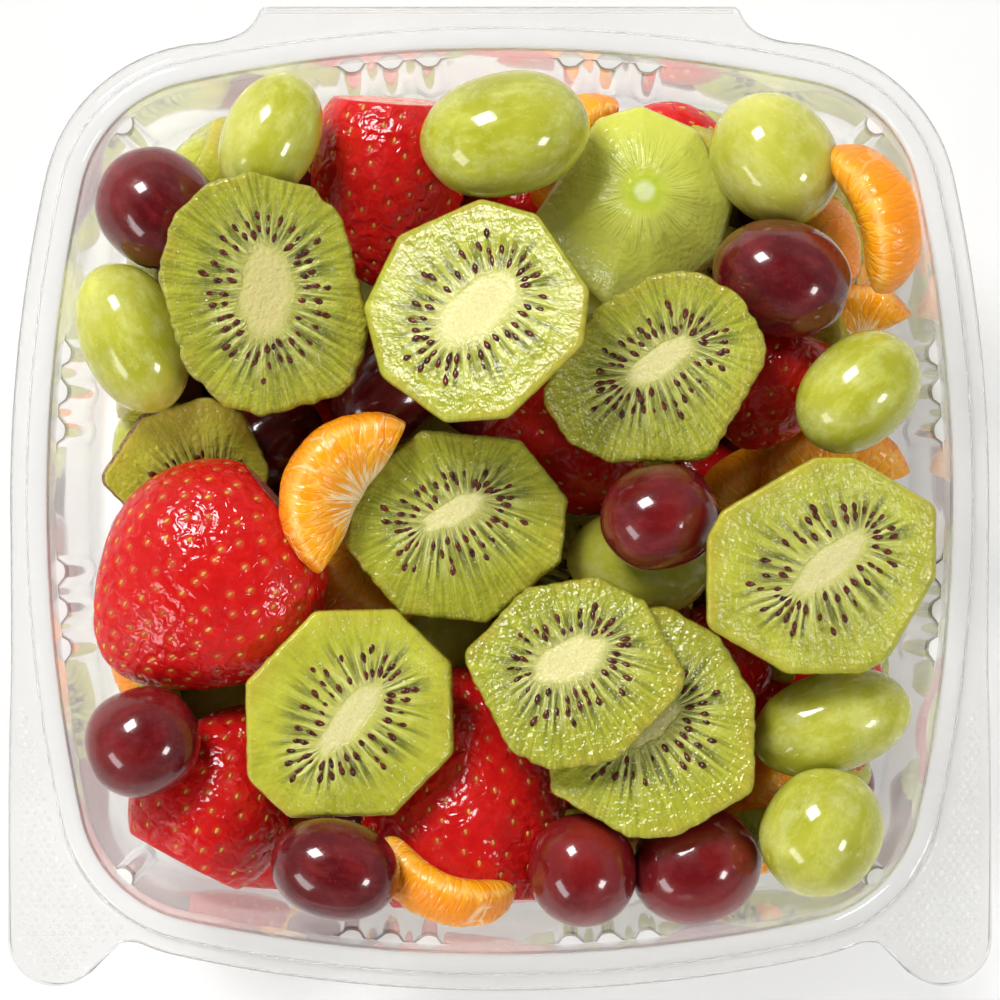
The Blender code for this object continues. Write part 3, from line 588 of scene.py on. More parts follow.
def kiwi_flesh_group():
    """Colour, roughness and relief of cut kiwi flesh, from how far out and which way a point is."""
    group, given, out = new_group("kiwi_flesh", Darkness=0.0, Wetness=0.5)
    polar = attribute(group, "polar")
    split = split_xyz(group, polar)
    coords = object_coords(group)
    way = math_node(group, "ARCTAN2", split["Y"], split["X"])
    # Z is 0 in the middle, 1 at the edge of the core, 2 at the rim and more on the peeled side.
    far = times(group, split["Z"], 0.5)

    def spun(across, outwards):
        return stretched(group, polar, (across, across, outwards))

    fibres = noise_of(group, spun(7.0, 0.55), 3.4, 4.0, 0.6)
    fine_fibres = noise_of(group, spun(7.0, 0.75), 9.0, 3.0, 0.6)
    blotches = noise_of(group, coords, 140.0, 4.0, 0.65)
    grain = noise_of(group, coords, 2200.0, 2.0, 0.6)
    wobble = times_plus(group, noise_of(group, spun(2.6, 0.5), 1.7, 2.0), 2.6, -1.3)
    turn = times_plus(group, way, CHAMBERS / (2 * math.pi), wobble)
    chance = make(group, "ShaderNodeTexWhiteNoise", {"W": math_node(group, "FLOOR", turn)},
                  noise_dimensions="1D").outputs["Color"]
    depth = split_xyz(group, chance)
    # The beat is 1 between the chambers, where the white rays run, and 0 in a chamber.
    beat = times_plus(group, math_node(group, "COSINE", times(group, turn, 2 * math.pi)), 0.5, 0.5)
    reach = times_plus(group, depth["X"], 0.09, math_node(group, "ADD", far, -0.045))
    in_ring = ramp(group, reach, (0.495, 0.0), (0.55, 1.0), (0.70, 0.9), (0.84, 0.0))
    chamber = times(group, ramp(group, beat, (0.12, 1.0), (0.66, 0.0)),
                    times_plus(group, depth["Y"], 0.5, 0.5))
    rays = times(group, ramp(group, beat, (0.62, 0.0), (0.95, 1.0)),
                 times_plus(group, depth["Z"], 0.8, 0.2))
    streak = ramp(group, fine_fibres, (0.50, 0.0), (0.68, 1.0))
    ray_reach = ramp(group, far, (0.45, 0.9), (0.56, 1.0), (0.68, 0.5), (0.86, 0.1))
    flesh = mix_colour(group, ramp(group, blotches, (0.32, 0.0), (0.68, 1.0)),
                       (0.33, 0.345, 0.016), (0.52, 0.53, 0.045))
    soft = ramp(group, fibres, (0.42, 0.0), (0.72, 0.55))
    flesh = mix_colour(group, soft, flesh, (0.58, 0.58, 0.08))
    rim = times(group, ramp(group, far, (0.86, 0.0), (0.99, 0.75)),
                ramp(group, noise_of(group, coords, 90.0, 2.0), (0.4, 0.2), (0.6, 1.0)))
    flesh = mix_colour(group, rim, flesh, (0.50, 0.40, 0.045))
    flesh = mix_colour(group, times(group, chamber, in_ring), flesh, (0.035, 0.042, 0.012))
    shade = times(group, times(group, given["Darkness"], ramp(group, far, (0.2, 0.0), (0.5, 1.0))),
                  ramp(group, fibres, (0.36, 1.0), (0.60, 0.35)))
    flesh = mix_colour(group, shade, flesh, (0.105, 0.125, 0.012))
    bright = math_node(group, "MAXIMUM", times(group, rays, in_ring), times(group, streak, 0.7))
    bright = times(group, times(group, bright, ray_reach), 0.85)
    flesh = mix_colour(group, bright, flesh, (0.84, 0.84, 0.38))
    core = ramp(group, times_plus(group, fine_fibres, 0.55, times_plus(group, fibres, 0.20, far)),
                (0.70, 1.0), (0.96, 0.0), smooth=True)
    core_colour = mix_colour(group, ramp(group, grain, (0.3, 0.0), (0.7, 1.0)),
                             (0.70, 0.64, 0.24), (0.80, 0.74, 0.37))
    dull = times_plus(group, given["Darkness"], 8.0, -4.4, clamp=True)
    core_colour = mix_colour(group, dull, core_colour, (0.42, 0.34, 0.06))
    shine = ramp(group, noise_of(group, coords, 420.0, 2.0, 0.6), (0.35, 0.10), (0.7, 0.34))
    wet = times_plus(group, given["Wetness"], -0.24, shine, clamp=True)
    ridges = noise_of(group, spun(7.0, 2.6), 2.6, 1.0, 0.5)
    beads = noise_of(group, coords, 900.0, 1.0, 0.5)
    near_ring = ramp(group, far, (0.46, 0.0), (0.52, 1.0), (0.72, 0.8), (0.86, 0.0))
    film = times(group, times_plus(group, times(group, ridges, near_ring), 1.2, beads),
                 times_plus(group, given["Wetness"], 1.2, 0.5))
    feed(group, out, Colour=mix_colour(group, core, flesh, core_colour),
         Roughness=math_node(group, "MAXIMUM", wet, 0.07),
         Height=times_plus(group, fine_fibres, 0.25, film))
    return group


kiwi_flesh = kiwi_flesh_group()


def grouped_material(name, group, given, strength, distance, **values):
    """A material that takes its colour, roughness and relief from a group."""
    material, tree, shader = new_material(name, **values)
    surface = make(tree, "ShaderNodeGroup", given, node_tree=group).outputs
    feed(tree, shader, Base_Color=surface["Colour"], Roughness=surface["Roughness"])
    bump(tree, shader, surface["Height"], strength, distance)
    return material


def kiwi_material(name, darkness, wetness):
    return grouped_material(name, kiwi_flesh, {"Darkness": darkness, "Wetness": wetness},
                            1.0, 0.0003)


def mottled_material(name, mottling, *stops, stretch=(1, 1, 1), relief=None, **values):
    """A material whose colour wanders; relief is the strength and distance of its bump."""
    material, tree, shader = new_material(name, **values)
    tone = noise_of(tree, stretched(tree, object_coords(tree), stretch), *mottling)
    feed(tree, shader, Base_Color=ramp(tree, tone, *stops))
    if relief:
        bump(tree, shader, tone, *relief)
    return material


def point_values(made, name, values):
    """Gives each point of a piece its value or its vector."""
    values = np.array(values, np.float32)
    kind, key = ("FLOAT", "value") if values.ndim == 1 else ("FLOAT_VECTOR", "vector")
    made.data.attributes.new(name, kind, "POINT").data.foreach_set(key, values.ravel())


seed_shell = mottled_material(
    "kiwi_seed", (900.0,), (0.38, (0.03, 0.005, 0.003)), (0.62, (0.14, 0.02, 0.008)),
    Roughness=0.3, Specular_IOR_Level=0.3, Coat_Weight=0.4)
kiwi_peel = mottled_material(
    "kiwi_peel", (1300.0, 4.0, 0.7), (0.35, (0.10, 0.045, 0.016)), (0.65, (0.42, 0.27, 0.13)),
    stretch=(1, 1, 0.3), relief=(0.7, 0.0004), Roughness=0.75)
SEED_RINGS = ((1.14, 0.8), (1.33, 0.75), (1.48, 0.2))  # how far out, odds of a seed in a chamber


def cut_kiwi(rim, core, thickness, seed, rng, ragged=0.0, peel=None, dome=0.0, seeds=True,
             rings=KIWI_RINGS, seed_rows=6):
    """A slice with its cut face at z = 0: points, faces, kinds (0 flesh, 1 seed, 2 peel), polar."""
    around = len(rim)
    core_rings, flesh_rings, side_rings, under_rings = rings
    (off_x, off_y), turn, half_long, half_wide = core
    turn = math.radians(turn)
    turns = np.linspace(0, 2 * math.pi, around, endpoint=False)
    spokes = []
    for j, a in enumerate(turns):
        c, s = math.cos(a), math.sin(a)
        wob = 1 + 0.16 * lumps(c * 2.2, s * 2.2, 0, 1.0, seed)
        ex, ey = half_long * math.cos(a - turn) * wob, half_wide * math.sin(a - turn) * wob
        inner = (off_x + ex * math.cos(turn) - ey * math.sin(turn),
                 off_y + ex * math.sin(turn) + ey * math.cos(turn))
        far_out = rim[j] + ragged * lumps(c * 9, s * 9, 0, 1.0, seed)
        spokes.append((a, c, s, inner, (far_out * c, far_out * s)))

    def at(spoke, far):
        _, _, _, inner, outer = spoke
        if far <= 1:
            return off_x + (inner[0] - off_x) * far, off_y + (inner[1] - off_y) * far
        return tuple(i + (o - i) * (far - 1) for i, o in zip(inner, outer))

    def top(x, y, far, a):
        h = 0.25 * lumps(x, y, 0, 9.0, seed) + 0.09 * lumps(x, y, 3, 2.4, seed) - 0.1
        if dome:
            share = math.hypot(x, y) / rim[int(a / (2 * math.pi) * around) % around]
            h -= dome * min(1.0, share) ** 2.2
        if far > 1 and seeds:
            t = far - 1
            h += math.exp(-((t - 0.26) / 0.17) ** 2) * (0.24 * math.cos(a * CHAMBERS) - 0.18)
            h += 0.07 * lumps(math.cos(a) * 30, math.sin(a) * 30, t * 2, 1.0, seed)
        return h - 0.45 * max(0.0, (far - 1.94) / 0.06) ** 2

    points = [(off_x, off_y, top(off_x, off_y, 0, 0))]
    polar = [(0.0, 0.0, 0.0)]
    shares = [r / core_rings for r in range(1, core_rings + 1)]
    shares += [1 + (r / flesh_rings) ** 1.1 for r in range(1, flesh_rings + 1)]
    for far in shares:
        for spoke in spokes:
            x, y = at(spoke, far)
            points.append((x, y, top(x, y, far, spoke[0])))
            near = min(1.0, far * 1.6)
            polar.append((spoke[1] * near, spoke[2] * near, far))
    edge = [at(spoke, 2) + (points[j - around][2],) for j, spoke in enumerate(spokes)]
    foot = -thickness - dome
    for r in range(1, side_rings + 1):
        t = r / side_rings
        for spoke, (x, y, z) in zip(spokes, edge):
            bulge = 0.3 * math.sin(math.pi * t) - 0.5 * max(0.0, t - 0.85) / 0.15
            grow = 1 + bulge / math.hypot(x, y)
            low = z * (1 - t) + foot * 0.99 * t
            points.append((x * grow, y * grow, low + 0.1 * lumps(x, y, low, 3, seed)))
            polar.append((spoke[1], spoke[2], 2 + 0.25 * min(t, 1 - t)))
    for r in range(1, under_rings + 1):
        s = 0.97 * (1 - r / (under_rings + 1))
        for spoke, (x, y, _) in zip(spokes, edge):
            points.append((x * s, y * s, foot + 0.1 * lumps(x, y, 9, 5, seed)))
            polar.append((spoke[1] * s, spoke[2] * s, 1 + s))
    points.append((0.0, 0.0, foot))
    polar.append((0.0, 0.0, 1.0))
    count = sum(rings)
    faces = fan(1, around, 0) + [face[::-1] for face in loops(around, count, 1)]
    faces += fan(1 + (count - 1) * around, around, len(points) - 1, inwards=True)
    kinds = [0] * len(faces)
    if peel:
        first = core_rings + flesh_rings - 2
        for r in range(first, first + side_rings + 1):
            for j in range(around):
                if peel[0] < 360 * j / around < peel[1]:
                    kinds[(r + 1) * around + j] = 2
    if not seeds:
        return points, faces, kinds, polar
    for k in range(CHAMBERS):
        for far, odds in SEED_RINGS:
            if rng.random() > odds:
                continue
            share = (k + 0.5 + rng.uniform(-0.22, 0.22)) / CHAMBERS
            spoke = spokes[int(share * around) % around]
            reach = far + rng.uniform(-0.06, 0.06)
            x, y = at(spoke, reach)
            outwards = math.atan2(spoke[4][1] - spoke[3][1], spoke[4][0] - spoke[3][0])
            lie = outwards + rng.uniform(-0.3, 0.3)
            z = top(x, y, reach, spoke[0]) + rng.uniform(-0.22, 0.18)
            along = Vector((math.cos(lie), math.sin(lie), rng.uniform(-0.2, 0.2))).normalized()
            more, more_faces = drop_shape(Vector((x, y, z)), along, Vector((0, 0, 1)),
                                          rng.uniform(2.0, 2.6), rng.uniform(1.15, 1.45),
                                          rng.uniform(0.7, 0.9), seed_rows)
            start = len(points)
            points += more
            polar += [(1.0, 0.0, 1.3)] * len(more)
            faces += [tuple(start + i for i in f) for f in more_faces]
            kinds += [1] * len(more_faces)
    return points, faces, kinds, polar


rng = np.random.default_rng(41)
for node, (*core, wetness, darkness) in KIWI.items():
    solid, middle, slopes, thickness = lie_of(node)
    rim = rim_of(solid, middle, slopes, thickness)
    points, faces, kinds, polar = cut_kiwi(
        rim, core, thickness, float(rng.uniform(0, 50)), rng, 0.5 * wetness,
        CHUNK_PEEL if node == "kiwi_chunk" else None)
    placed = [(x + middle.x, y + middle.y, z + middle.z + slopes[0] * x + slopes[1] * y)
              for x, y, z in points]
    materials = [kiwi_material(node, darkness, wetness), seed_shell, kiwi_peel]
    made = add_piece(node + "_slice", placed, faces, materials, "kiwi", [node], kinds, middle)
    point_values(made, "polar", polar)

# The round end of a kiwi, cut flat underneath: no seeds, fine dark lines and a white spot where
# the core begins.
END_FLATS = (17.5, 18.5, 18.5, 15.5, 20, 18, 19.5, 18, 18.5)
END_START, END_DOME, END_SPOT, END_REACH = 27, 6.5, (1.7, 2.8), 18.0

end_flesh, tree, shader = new_material(
    "kiwi_end", Specular_IOR_Level=0.4, Subsurface_Weight=0.3,
    Subsurface_Radius=(1.0, 0.9, 0.3), Subsurface_Scale=0.004)
polar = attribute(tree, "polar")
far = split_xyz(tree, polar)["Z"]  # 0 at the spot and 1 at END_REACH from it
coords = object_coords(tree)
spun = stretched(tree, polar, (9.0, 9.0, 0.9))
in_ring = ramp(tree, far, (0.22, 0.0), (0.32, 1.0), (0.54, 0.7), (0.72, 0.0))
lines = times(tree, in_ring, ramp(tree, noise_of(tree, spun, 3.4, 2.0), (0.30, 0.65), (0.50, 0.0)))
flesh = mix_colour(tree, noise_of(tree, coords, 130.0), (0.54, 0.58, 0.06), (0.69, 0.70, 0.15))
flesh = mix_colour(tree, ramp(tree, far, (0.12, 0.8), (0.30, 0.0)), flesh, (0.46, 0.58, 0.03))
flesh = mix_colour(tree, lines, flesh, (0.17, 0.27, 0.02))
flesh = mix_colour(tree, ramp(tree, far, (0.84, 0.0), (1.0, 0.6)), flesh, (0.52, 0.56, 0.13))
spot = ramp(tree, far, (0.07, 1.0), (0.15, 0.0), smooth=True)
feed(tree, shader, Base_Color=mix_colour(tree, spot, flesh, (0.70, 0.76, 0.36)),
     Roughness=ramp(tree, noise_of(tree, coords, 400.0), (0.35, 0.07), (0.7, 0.3)))
ridges = times(tree, noise_of(tree, spun, 2.2, 1.0), in_ring)
beads = noise_of(tree, coords, 900.0, 1.0, 0.5)
bump(tree, shader, times_plus(tree, ridges, 1.6, beads), 1.0, 0.0002)


def flat_sides(start, flats, around=AROUND):
    """Distance from the middle to knife flats that lie this far out, all the way round."""
    turns = np.linspace(0, 360, around, endpoint=False)
    reach = []
    for a in turns:
        off = [math.cos(math.radians(a - start - 360 / len(flats) * k)) for k in range(len(flats))]
        reach.append(min(flat / c for flat, c in zip(flats, off) if c > 0.05))
    return softened(np.array(reach))


low, high = (np.array(corner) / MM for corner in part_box("kiwi_end"))
rim = flat_sides(END_START, END_FLATS)
turns = np.linspace(0, 2 * math.pi, AROUND, endpoint=False)
across = [rim * np.cos(turns), rim * np.sin(turns)]
at = [(low[i] + high[i] - across[i].min() - across[i].max()) / 2 for i in (0, 1)]
points, faces, kinds, _ = cut_kiwi(rim, (END_SPOT, 0, 2.2, 2.2), high[2] - low[2] - END_DOME, 12.5,
                                   rng, dome=END_DOME, seeds=False)
polar = []
for x, y, _ in points:
    away = Vector((x - END_SPOT[0], y - END_SPOT[1]))
    a = math.atan2(away.y, away.x)
    polar.append((math.cos(a), math.sin(a), away.length / END_REACH))
placed = [(x + at[0], y + at[1], z + high[2] - 0.1) for x, y, z in points]
made = add_piece("kiwi_end_dome", placed, faces, [end_flesh], "kiwi", ["kiwi_end"], kinds,
                 (*at, high[2]))
point_values(made, "polar", polar)

# --- Grapes ------------------------------------------------------------------------------------
# Whole seedless grapes, green and red: taut skin over clear flesh, glossy where it is wet, with
# pale freckles, a little bloom left by handling, and a corky scar where the stem was.

GRAPE_STATIONS, GRAPE_SIDES = 44, 52
GRAPES = {  # half length, half width, direction of the long axis, end with the scar, tone
    "grape_red_corner": (12.6, 11.4, -45, 0, 0.25),
    "grape_green_upper_left": (13.0, 9.5, 66, 0, 0.75),
    "grape_green_top": (16.7, 12.2, 12, 0, 0.25),
    "grape_green_left": (15.5, 10.2, -67, 0, 0.35),
    "grape_green_top_right": (13.8, 12.0, -50, 0, 0.8),
    "grape_red_right": (13.9, 11.4, -14, 1, 0.2),
    "grape_green_right": (13.6, 10.4, 42, 0, 0.3),
    "grape_green_long": (16.1, 10.0, 17, 0, 0.35),
    "grape_green_bottom_right": (13.0, 11.8, 60, 0, 0.4),
    "grape_red_bottom_right": (13.0, 11.4, 15, 0, 0.7),
    "grape_red_bottom_middle": (11.2, 10.6, 100, 0, 0.8),
    "grape_red_bottom_left": (12.8, 9.9, -12, 0, 0.15),
    "grape_red_left": (11.6, 10.8, 20, -1, 0.5),
    "grape_red_middle": (11.8, 10.4, 12, 0, 0.45),
    "grape_green_middle": (14.4, 10.2, -8, 0, 0.6),
    "grape_green_peek": (10.5, 9.5, 20, 0, 0.1),
    "grape_red_hollow": (11.5, 9.8, 20, 0, 0.1),
    "grape_red_between": (11.5, 9.8, 40, 0, 0.1),
    "grape_green_under": (12.5, 9.8, 60, 0, 0.2),
}


def grape_skin_group():
    """Skin of a grape: freckles, mottling from stem to tip, bloom, and how the gloss breaks up."""
    white = (1, 1, 1, 1)
    group, given, out = new_group("grape_skin", Deep=(0, 0, 0, 1), Pale=white, Blush=white,
                                  Bloom=white, Bloom_Share=0.2)
    own = make(group, "ShaderNodeObjectInfo").outputs["Random"]
    moved = make(group, "ShaderNodeVectorMath", {0: object_coords(group), 1: own},
                 operation="ADD").outputs[0]
    wide = noise_of(group, moved, 70.0, 2.0)
    streaks = noise_of(group, stretched(group, moved, (0.45, 1, 1)), 330.0, 4.0, 0.65)
    fine = noise_of(group, moved, 1300.0, 2.0)
    freckle = make(group, "ShaderNodeTexVoronoi",
                   {"Vector": moved, "Scale": 620.0}).outputs["Distance"]
    base = mix_colour(group, ramp(group, wide, (0.35, 0.0), (0.65, 1.0)),
                      given["Deep"], given["Pale"])
    base = mix_colour(group, ramp(group, streaks, (0.48, 0.0), (0.78, 0.65)), base, given["Blush"])
    base = mix_colour(group, ramp(group, freckle, (0.10, 0.30), (0.2, 0.0)), base, given["Blush"])
    hazy = noise_of(group, moved, 150.0, 4.0, 0.7)
    bloom = times(group, ramp(group, hazy, (0.46, 0.0), (0.66, 1.0)), given["Bloom Share"])
    feed(group, out, Colour=mix_colour(group, bloom, base, given["Bloom"]),
         Roughness=times_plus(group, bloom, 0.45, times_plus(group, fine, 0.14, 0.10)),
         Height=times_plus(group, fine, 0.5, times(group, streaks, 0.7)))
    return group


grape_skin = grape_skin_group()
GRAPE_COLOURS = {  # deep (darkest, lightest), pale (the same), blush, bloom, its share, glow
    "green": (((0.33, 0.345, 0.012), (0.47, 0.47, 0.04)),
              ((0.45, 0.46, 0.028), (0.58, 0.57, 0.10)),
              (0.68, 0.69, 0.18), (0.72, 0.75, 0.36), 0.3, 0.55),
    "red": (((0.07, 0.004, 0.006), (0.15, 0.006, 0.008)),
            ((0.11, 0.005, 0.008), (0.25, 0.011, 0.010)),
            (0.27, 0.022, 0.022), (0.24, 0.07, 0.075), 0.15, 0.12),
}


def grape_material(name, colour, tone):
    """Skin of a green or red grape; tone runs from 0, the darkest, to 1, the lightest."""
    deep, pale, blush, bloom, share, glow = GRAPE_COLOURS[colour]
    deep, pale = (np.array(dark) * (1 - tone) + np.array(light) * tone
                  for dark, light in (deep, pale))
    material, tree, shader = new_material(
        name, Specular_IOR_Level=0.25, Coat_Weight=0.75, Coat_Roughness=0.045,
        Subsurface_Weight=glow, Subsurface_Radius=(1.0, 0.9, 0.35), Subsurface_Scale=0.006)
    skin = make(tree, "ShaderNodeGroup", {
        "Deep": deep, "Pale": pale, "Blush": blush, "Bloom": bloom, "Bloom Share": share,
    }, node_tree=grape_skin).outputs
    scar = make(tree, "ShaderNodeAttribute", attribute_name="scar").outputs["Fac"]
    cork = mix_colour(tree, noise_of(tree, object_coords(tree), 1500.0),
                      (0.16, 0.08, 0.03), (0.42, 0.27, 0.13))
    feed(tree, shader, Base_Color=mix_colour(tree, scar, skin["Colour"], cork),
         Roughness=times_plus(tree, scar, 0.5, skin["Roughness"], clamp=True))
    bump(tree, shader, skin["Height"], 0.25, 0.0002)
    return material


def grape_points(half_length, half_width, end, seed, stations=GRAPE_STATIONS, sides=GRAPE_SIDES):
    """A grape along X, a little uneven, with a dimple and scar at the end that had the stem."""
    points, scars = [], []
    for i in range(1, stations):
        t = -math.cos(math.pi * i / stations)
        full = math.sqrt(1 - t * t) * (1 + 0.12 * (1 - t * t) * t * t)
        for k in range(sides):
            a = 2 * math.pi * k / sides
            y, z = full * math.cos(a), full * math.sin(a)
            swell = 1 + 0.018 * noise.noise(Vector((t * 1.4 + seed, y * 1.4, z * 1.4)))
            near = full * half_width if t * end > 0 else 99.0
            dent = 1 - 0.055 * math.exp(-(near / 2.6) ** 2)
            points.append((t * half_length * swell * dent, y * half_width * swell,
                           z * half_width * swell))
            scars.append(1.0 if near < 1.5 else 0.0)
    faces = [face[::-1] for face in loops(sides, stations - 1)]
    for way in (-1, 1):
        first = 0 if way < 0 else (stations - 2) * sides
        points.append((way * half_length * (0.945 if way == end else 1), 0, 0))
        scars.append(1.0 if way == end else 0.0)
        faces += fan(first, sides, len(points) - 1, inwards=way < 0)
    return points, faces, scars


def set_down(points, turn, node, roll=0.0, dip=0.0):
    """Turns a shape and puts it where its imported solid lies."""
    way = (Matrix.Rotation(math.radians(turn), 3, "Z") @ Matrix.Rotation(math.radians(dip), 3, "Y")
           @ Matrix.Rotation(math.radians(roll), 3, "X"))
    turned_points = np.array(points) @ np.array(way).T
    low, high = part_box(node)
    middle = (np.array(low) + np.array(high)) / 2 / MM
    return turned_points + middle - (turned_points.min(0) + turned_points.max(0)) / 2, way, middle


def place_rotated(name, shape, faces, materials, slot, node, turn, roll=0.0, dip=0.0, kinds=None):
    """As add_piece, with the object turned too, so that its grain follows the fruit."""
    points, way, middle = set_down(shape, turn, node, roll, dip)
    local = (points - middle) @ np.array(way)
    made = add_piece(name, local, faces, materials, slot, [], kinds)
    made.matrix_world = Matrix.Translation(Vector(middle) * MM) @ way.to_4x4()
    bpy.context.view_layer.update()
    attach(made, "root")
    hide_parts(node)
    return made


for number, (node, (half_length, half_width, turn, end, tone)) in enumerate(GRAPES.items()):
    shape, faces, scars = grape_points(half_length, half_width, end, 3.7 * number)
    colour = "green" if "green" in node else "red"
    made = place_rotated(node + "_whole", shape, faces, [grape_material(node, colour, tone)],
                         colour + "_grape", node, turn)
    point_values(made, "scar", scars)

# --- Strawberries ------------------------------------------------------------------------------
# Ripe strawberries with the leaves cut off: each seed sits in its own dimple, the flesh bulges
# round it, and the flat cut end shows paler flesh. They are wet, so they sparkle.

BERRIES = {  # length, width, depth, direction of the tip, dip, share left, paleness
    "strawberry_bottom_left": (34, 28, 25, 62, 0, 0.7, 0.45),
    "strawberry_bottom": (47, 37, 27, 93, 4, 0.72, 0.25),
    "strawberry_top": (37, 28, 25, -94, 6, 0.72, 0.2),
    "strawberry_left": (46, 40, 27, -140, 4, 0.85, 0.6),
    "strawberry_top_right": (24, 18, 18, -20, 6, 0.8, 0.2),
    "strawberry_right": (25, 24, 19, -110, 6, 0.8, 0.15),
    "strawberry_middle": (32, 26, 22, -40, 10, 0.8, 0.1),
    "strawberry_low_right": (28, 18, 17, 80, 0, 0.8, 0.2),
}
SEED_SPACE = 4.3  # between the seeds of a strawberry
SEED_TURN = 2.399963  # from one seed to the next, so that they lie in even spirals
DIMPLE_RADIUS, DIMPLE_DEEP = 1.15, 0.42
CUT_RINGS = 12


def berry_surface(t, a, size, left, seed):
    """A point of the berry's skin: t from -1 at the hull to 1 at the tip, a round its length."""
    length, width, depth = size
    z = math.sin(t * math.pi / 2)
    round_x = math.cos(t * math.pi / 2)
    full = 1 - 0.22 * z + 0.1 * (1 - z * z)
    middle = (1 - left) / 2
    x, y = math.cos(a), math.sin(a)
    swell = 1 + 0.045 * noise.noise(Vector((z * 1.3 + seed, x * 1.5, y * 1.5 - seed)))
    along = (z - middle) * length / (1 + left)
    return Vector((along, x * round_x * width / 2 * full * swell,
                   y * round_x * depth / 2 * full * swell))


def berry(size, left, seed, fineness=1.0):
    """Points, faces, kinds (0 skin, 1 seed) and shade of a strawberry, its tip at +X."""
    length, width, depth = size
    stations = int(length * 2.1 * fineness)
    sides = int((width + depth) * 1.9 * fineness)
    cut = math.asin(-left) / (math.pi / 2)
    area = math.pi * length * (width + depth) / 2
    count = int(area / SEED_SPACE ** 2 * 1.1)
    spots, frames = [], []
    for i in range(count):
        z = -0.97 + 1.94 * (i + 0.5) / count
        if z < -left + 0.03:
            continue
        t = math.asin(z) / (math.pi / 2)
        a = i * SEED_TURN + 0.22 * noise.noise(Vector((i * 0.7, seed, 0)))
        p = berry_surface(t, a, size, left, seed)
        along = (berry_surface(t + 0.01, a, size, left, seed) - p).normalized()
        round_way = berry_surface(t, a + 0.02, size, left, seed) - p
        out = round_way.cross(along).normalized()
        if out.dot(p) < 0:
            out = -out
        spots.append(p)
        frames.append((out, along))
    spots_array = np.array(spots)
    points, shade = [], []
    for t in (cut + (1 - cut) * i / stations for i in range(stations)):
        for k in range(sides):
            a = 2 * math.pi * k / sides
            p = berry_surface(t, a, size, left, seed)
            apart = np.sqrt(((spots_array - np.array(p)) ** 2).sum(1)).min()
            out = Vector((0.25 * p.x / length, p.y / width, p.z / depth)).normalized()
            dent = -DIMPLE_DEEP * math.exp(-(apart / DIMPLE_RADIUS) ** 2 * 1.4)
            puff = 0.10 * math.exp(-((apart - 1.5) / 0.6) ** 2)
            ripple = 0.10 * noise.noise(p / 1.6 + Vector((seed, 0, 0)))
            points.append(tuple(p + out * (dent + puff + ripple)))
            shade.append((max(0.0, 1 - apart / 1.9), (t - cut) / (1 - cut), 0.0))
    points.append(tuple(berry_surface(1.0, 0, size, left, seed)))
    shade.append((0, 1, 0))
    faces = loops(sides, stations) + fan((stations - 1) * sides, sides, len(points) - 1)
    centre = np.mean(points[:sides], axis=0)
    start = len(points)
    for r in range(1, CUT_RINGS + 1):
        s = 1 - r / (CUT_RINGS + 0.0001)
        for k in range(sides):
            x, y, z = centre + (np.array(points[k]) - centre) * s
            bulge = 0.55 * math.sin(math.pi * min(1.0, (1 - s) * 1.2))
            bulge += 0.35 * noise.noise(Vector((y / 3.0, z / 3.0, seed)))
            points.append((x - 0.25 - bulge * 0.5 * (1 - s ** 6) + (1 - s ** 8) * 0.3, y, z))
            shade.append((0, 0, 1 - 0.5 * s if r > 1 else 0.4))
    cap = bridge(0, start, sides) + loops(sides, CUT_RINGS, start)
    faces += [face[::-1] for face in cap]
    kinds = [0] * len(faces)
    for number, (p, (out, along)) in enumerate(zip(spots, frames)):
        more, more_faces = drop_shape(p - out * (DIMPLE_DEEP * 0.62), along, out,
                                      1.45 + 0.2 * math.sin(number), 0.92, 0.5, 5, 6)
        base = len(points)
        points += more
        shade += [(0, 0.5, 0)] * len(more)
        faces += [tuple(base + i for i in f) for f in more_faces]
        kinds += [1] * len(more_faces)
    return points, faces, kinds, shade


def berry_skin_group():
    """Skin of a strawberry: deep red, paler and yellower in the dimples and near an unripe end."""
    group, given, out = new_group("berry_skin", Paleness=0.3)
    coords = object_coords(group)
    shade = split_xyz(group, attribute(group, "shade"))
    wide = noise_of(group, coords, 60.0, 3.0)
    small = noise_of(group, coords, 420.0, 4.0, 0.6)
    fine = noise_of(group, coords, 1500.0, 3.0, 0.65)
    red = mix_colour(group, wide, (0.44, 0.004, 0.005), (0.68, 0.010, 0.009))
    red = mix_colour(group, ramp(group, small, (0.4, 0.0), (0.75, 0.45)), red, (0.78, 0.022, 0.017))
    halo = ramp(group, shade["X"], (0.35, 0.0), (0.8, 0.55))
    red = mix_colour(group, times(group, halo, given["Paleness"]), red, (0.85, 0.22, 0.06))
    blush = ramp(group, times_plus(group, wide, 0.5, shade["Y"]), (1.05, 0.0), (1.3, 1.0))
    red = mix_colour(group, times(group, blush, given["Paleness"]), red, (0.86, 0.25, 0.09))
    vein = noise_of(group, coords, 520.0, 4.0, 0.7)
    flesh = mix_colour(group, ramp(group, vein, (0.35, 0.0), (0.65, 1.0)), (0.74, 0.10, 0.07),
                       (0.90, 0.42, 0.32))
    rough = ramp(group, noise_of(group, coords, 240.0, 2.0), (0.35, 0.12), (0.7, 0.30))
    film = noise_of(group, coords, 430.0, 1.0, 0.5, Distortion=0.6)
    feed(group, out,
         Colour=mix_colour(group, ramp(group, shade["Z"], (0.15, 0.0), (0.5, 1.0)), red, flesh),
         Roughness=math_node(group, "ADD", rough, -0.056, clamp=True),
         Height=times_plus(group, fine, 0.04, film))
    return group


berry_skin = berry_skin_group()


def berry_material(name, paleness):
    return grouped_material(name, berry_skin, {"Paleness": paleness}, 1.0, 0.0006,
                            Subsurface_Weight=0.25, Subsurface_Radius=(1.0, 0.25, 0.12),
                            Subsurface_Scale=0.003)


